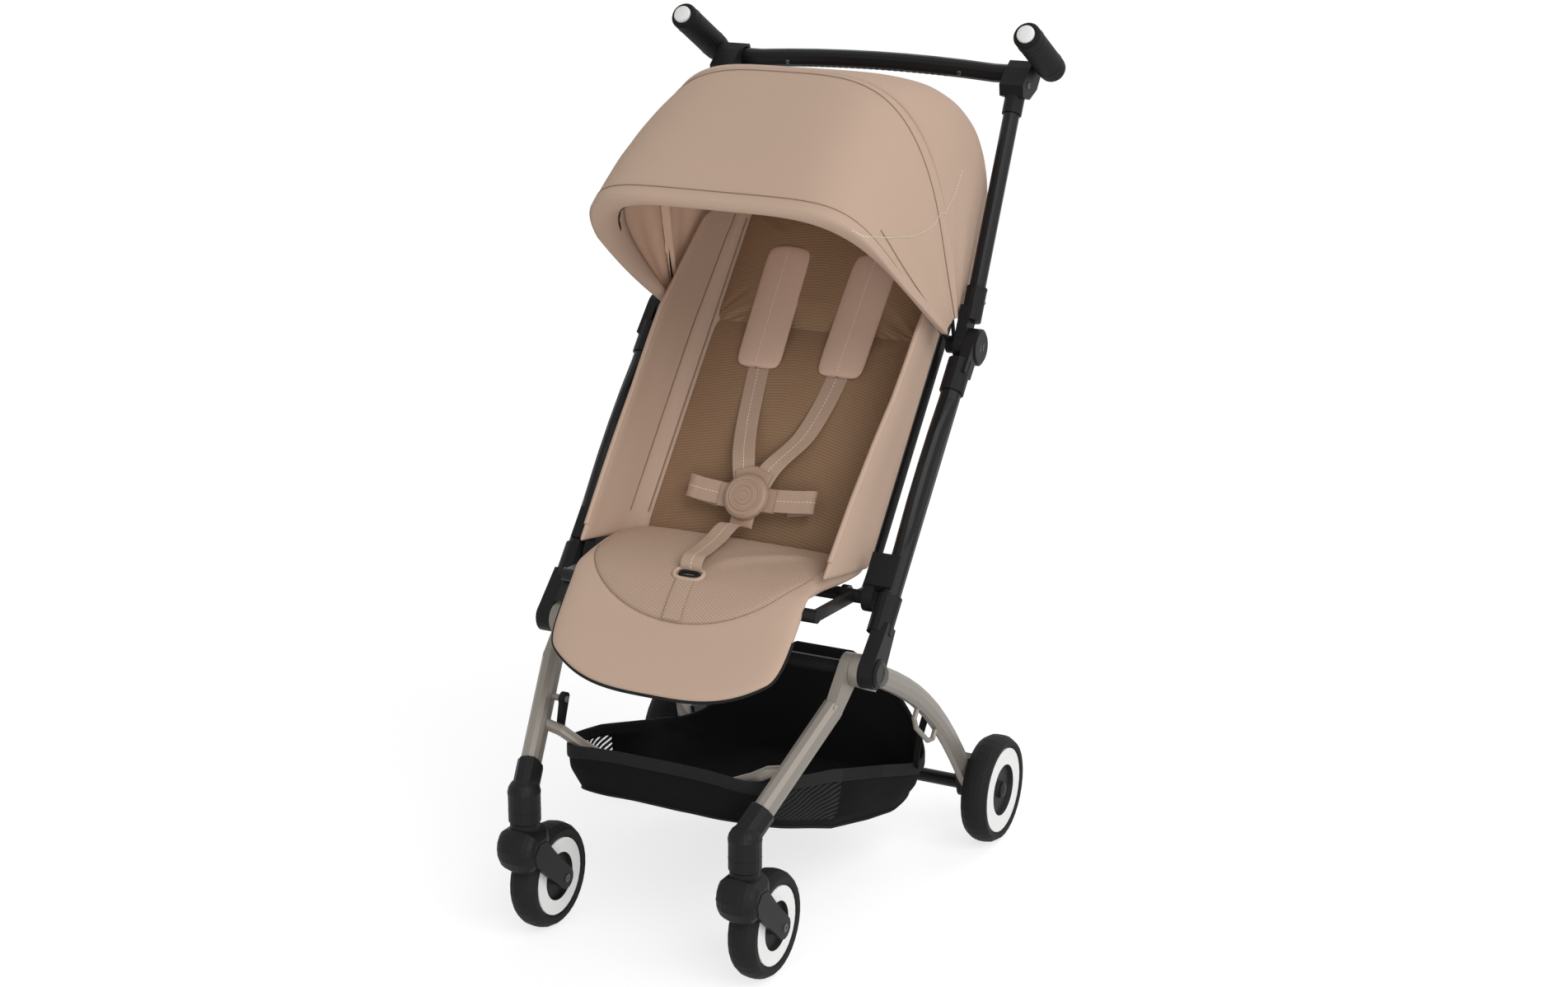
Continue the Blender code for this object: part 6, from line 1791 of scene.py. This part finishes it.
    def casters(self) -> None:
        """A seam round each caster barrel, and a screw on each fork's arm."""
        for side in SIDES:
            word = WORDS[side]
            x, y = side * self.caster[0], self.caster[1]
            self.tube_ring("barrel_ring_" + word, (x, y, 0.1640), (0, 0, 1), (0.0192, 0.0010), "chassis")
            for face in SIDES:
                edge = x + face * (0.0175 + 0.003 + 0.006)
                name = f"axle_screw_{word}_{WORDS[face]}"
                self.screw(name, (edge, y + 0.0472, 0.0630), (face, 0, 0), 0.0050, "caster_" + word)

    def wheels(self) -> None:
        """A cap at the middle of each rear wheel's outer face."""
        for side in SIDES:
            x, y, z = self.rear_wheel
            spot = (side * (x + 0.0136), y, z)
            cap = turned_mesh("rear_cap_" + WORDS[side], self.wheel_cap, spot, (side, 0, 0), 28)
            dress(cap, finish().plastic, "black_plastic", "rear_wheel_" + WORDS[side])

    def build(self) -> None:
        """Make all the small fittings."""
        self.hinges()
        self.tubes()
        self.crossbar()
        self.grips()
        self.casters()
        self.wheels()


@dataclass
class Studio:
    """The plain pale floor, the soft lamps, the world and the camera of the photograph."""

    camera_place: tuple = (1.3569, -2.6242, 1.3577)
    target: tuple = (0.0222, 0.0180, 0.4792)
    lens: float = 58.9
    roll: float = 0.214
    ambient: float = 0.44
    glow: float = 1.40
    glow_share: float = 0.52

    def seen_directly(self, tree: bpy.types.NodeTree) -> bpy.types.NodeSocket:
        """A socket that is 1 for camera, glossy and transmission rays, and 0 for others."""
        path = tree.nodes.new("ShaderNodeLightPath")
        last = path.outputs["Is Camera Ray"]
        for name in ("Is Glossy Ray", "Is Transmission Ray"):
            most = tree.nodes.new("ShaderNodeMath")
            most.operation = "MAXIMUM"
            tree.links.new(last, most.inputs[0])
            tree.links.new(path.outputs[name], most.inputs[1])
            last = most.outputs[0]
        return last

    def floor(self) -> None:
        """A wide floor that shows white and keeps a soft shadow."""
        reach = 30.0
        points = reach * np.array([(-1, -1, 0), (1, -1, 0), (1, 1, 0), (-1, 1, 0)], float)
        obj = make_mesh("floor", points, [(0, 1, 2, 3)])
        graph = Graph("floor_white")
        graph.feed(Base_Color=(0.78, 0.78, 0.78), Roughness=0.9, Specular_IOR_Level=0.0)
        glow = graph.node("ShaderNodeEmission", None, {"Color": (1.0, 1.0, 1.0, 1.0), "Strength": self.glow})
        seen = self.seen_directly(graph.tree)
        half = graph.maths("MULTIPLY", Signal(graph, seen), self.glow_share)
        mix = graph.node("ShaderNodeMixShader", None, {0: half})
        graph.tree.links.new(graph.shader.outputs[0], mix.inputs[1])
        graph.tree.links.new(glow.outputs[0], mix.inputs[2])
        output = next(node for node in graph.tree.nodes if node.bl_idname == "ShaderNodeOutputMaterial")
        graph.tree.links.new(mix.outputs[0], output.inputs["Surface"])
        obj.data.materials.append(graph.material)

    def world(self) -> None:
        """Soft light from all round, and white where the camera sees past the floor."""
        world = bpy.data.worlds.new("studio")
        bpy.context.scene.world = world
        world.use_nodes = True
        tree = world.node_tree
        tree.nodes.clear()
        soft, white = tree.nodes.new("ShaderNodeBackground"), tree.nodes.new("ShaderNodeBackground")
        soft.inputs["Strength"].default_value = self.ambient
        soft.inputs["Color"].default_value = (1.0, 1.0, 1.0, 1.0)
        white.inputs["Color"].default_value = (1.0, 1.0, 1.0, 1.0)
        white.inputs["Strength"].default_value = 1.0
        mix, output = tree.nodes.new("ShaderNodeMixShader"), tree.nodes.new("ShaderNodeOutputWorld")
        tree.links.new(self.seen_directly(tree), mix.inputs[0])
        tree.links.new(soft.outputs[0], mix.inputs[1])
        tree.links.new(white.outputs[0], mix.inputs[2])
        tree.links.new(mix.outputs[0], output.inputs["Surface"])

    def lamp(self, name: str, place: Sequence[float], size: float, energy: float) -> None:
        """A square soft box that faces the stroller's middle."""
        light = bpy.data.lights.new(name, "AREA")
        light.shape = "SQUARE"
        light.size = size
        light.energy = energy
        obj = bpy.data.objects.new(name, light)
        bpy.context.scene.collection.objects.link(obj)
        obj.location = place
        ahead = Vector((0.0, 0.0, 0.5)) - Vector(place)
        obj.rotation_mode = "QUATERNION"
        obj.rotation_quaternion = ahead.to_track_quat("-Z", "Y")

    def sun(self, toward: Sequence[float], spread: float, strength: float) -> None:
        """A wide soft light from one direction, the same all over the floor."""
        light = bpy.data.lights.new("key", "SUN")
        light.energy = strength
        light.angle = math.radians(spread)
        obj = bpy.data.objects.new("key", light)
        bpy.context.scene.collection.objects.link(obj)
        obj.rotation_mode = "QUATERNION"
        obj.rotation_quaternion = (-Vector(toward)).to_track_quat("-Z", "Y")

    def camera(self) -> None:
        """The camera at the photograph's angle."""
        data = bpy.data.cameras.new("camera")
        data.lens = self.lens
        data.sensor_width = 36.0
        data.sensor_fit = "HORIZONTAL"
        obj = bpy.data.objects.new("camera", data)
        bpy.context.scene.collection.objects.link(obj)
        ahead = Vector(self.target) - Vector(self.camera_place)
        facing = ahead.to_track_quat("-Z", "Y").to_matrix().to_4x4()
        roll = Matrix.Rotation(math.radians(self.roll), 4, "Z")
        obj.matrix_world = Matrix.Translation(self.camera_place) @ facing @ roll
        bpy.context.scene.camera = obj

    def build(self) -> None:
        """Make the studio."""
        bpy.context.scene.view_settings.view_transform = "Standard"
        self.floor()
        self.world()
        self.sun((0.66, -0.34, 0.67), 45.0, 1.45)
        self.lamp("fill", (2.0, -3.0, 0.6), 2.0, 50.0)
        self.lamp("rear", (0.8, 2.6, 2.8), 2.0, 26.0)
        self.camera()


def main() -> None:
    """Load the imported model, dress it piece by piece, and light it."""
    logging.basicConfig(level=logging.INFO, format="%(message)s")
    for obj in list(bpy.data.objects):
        bpy.data.objects.remove(obj, do_unlink=True)
    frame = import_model()
    Studio().build()
    Frame(frame["nodes"]).build()
    Canopy().build()
    BackRest().build()
    SeatCover().build()
    Harness().build()
    Basket().build()
    Trim().build()


if __name__ == "__main__":
    main()
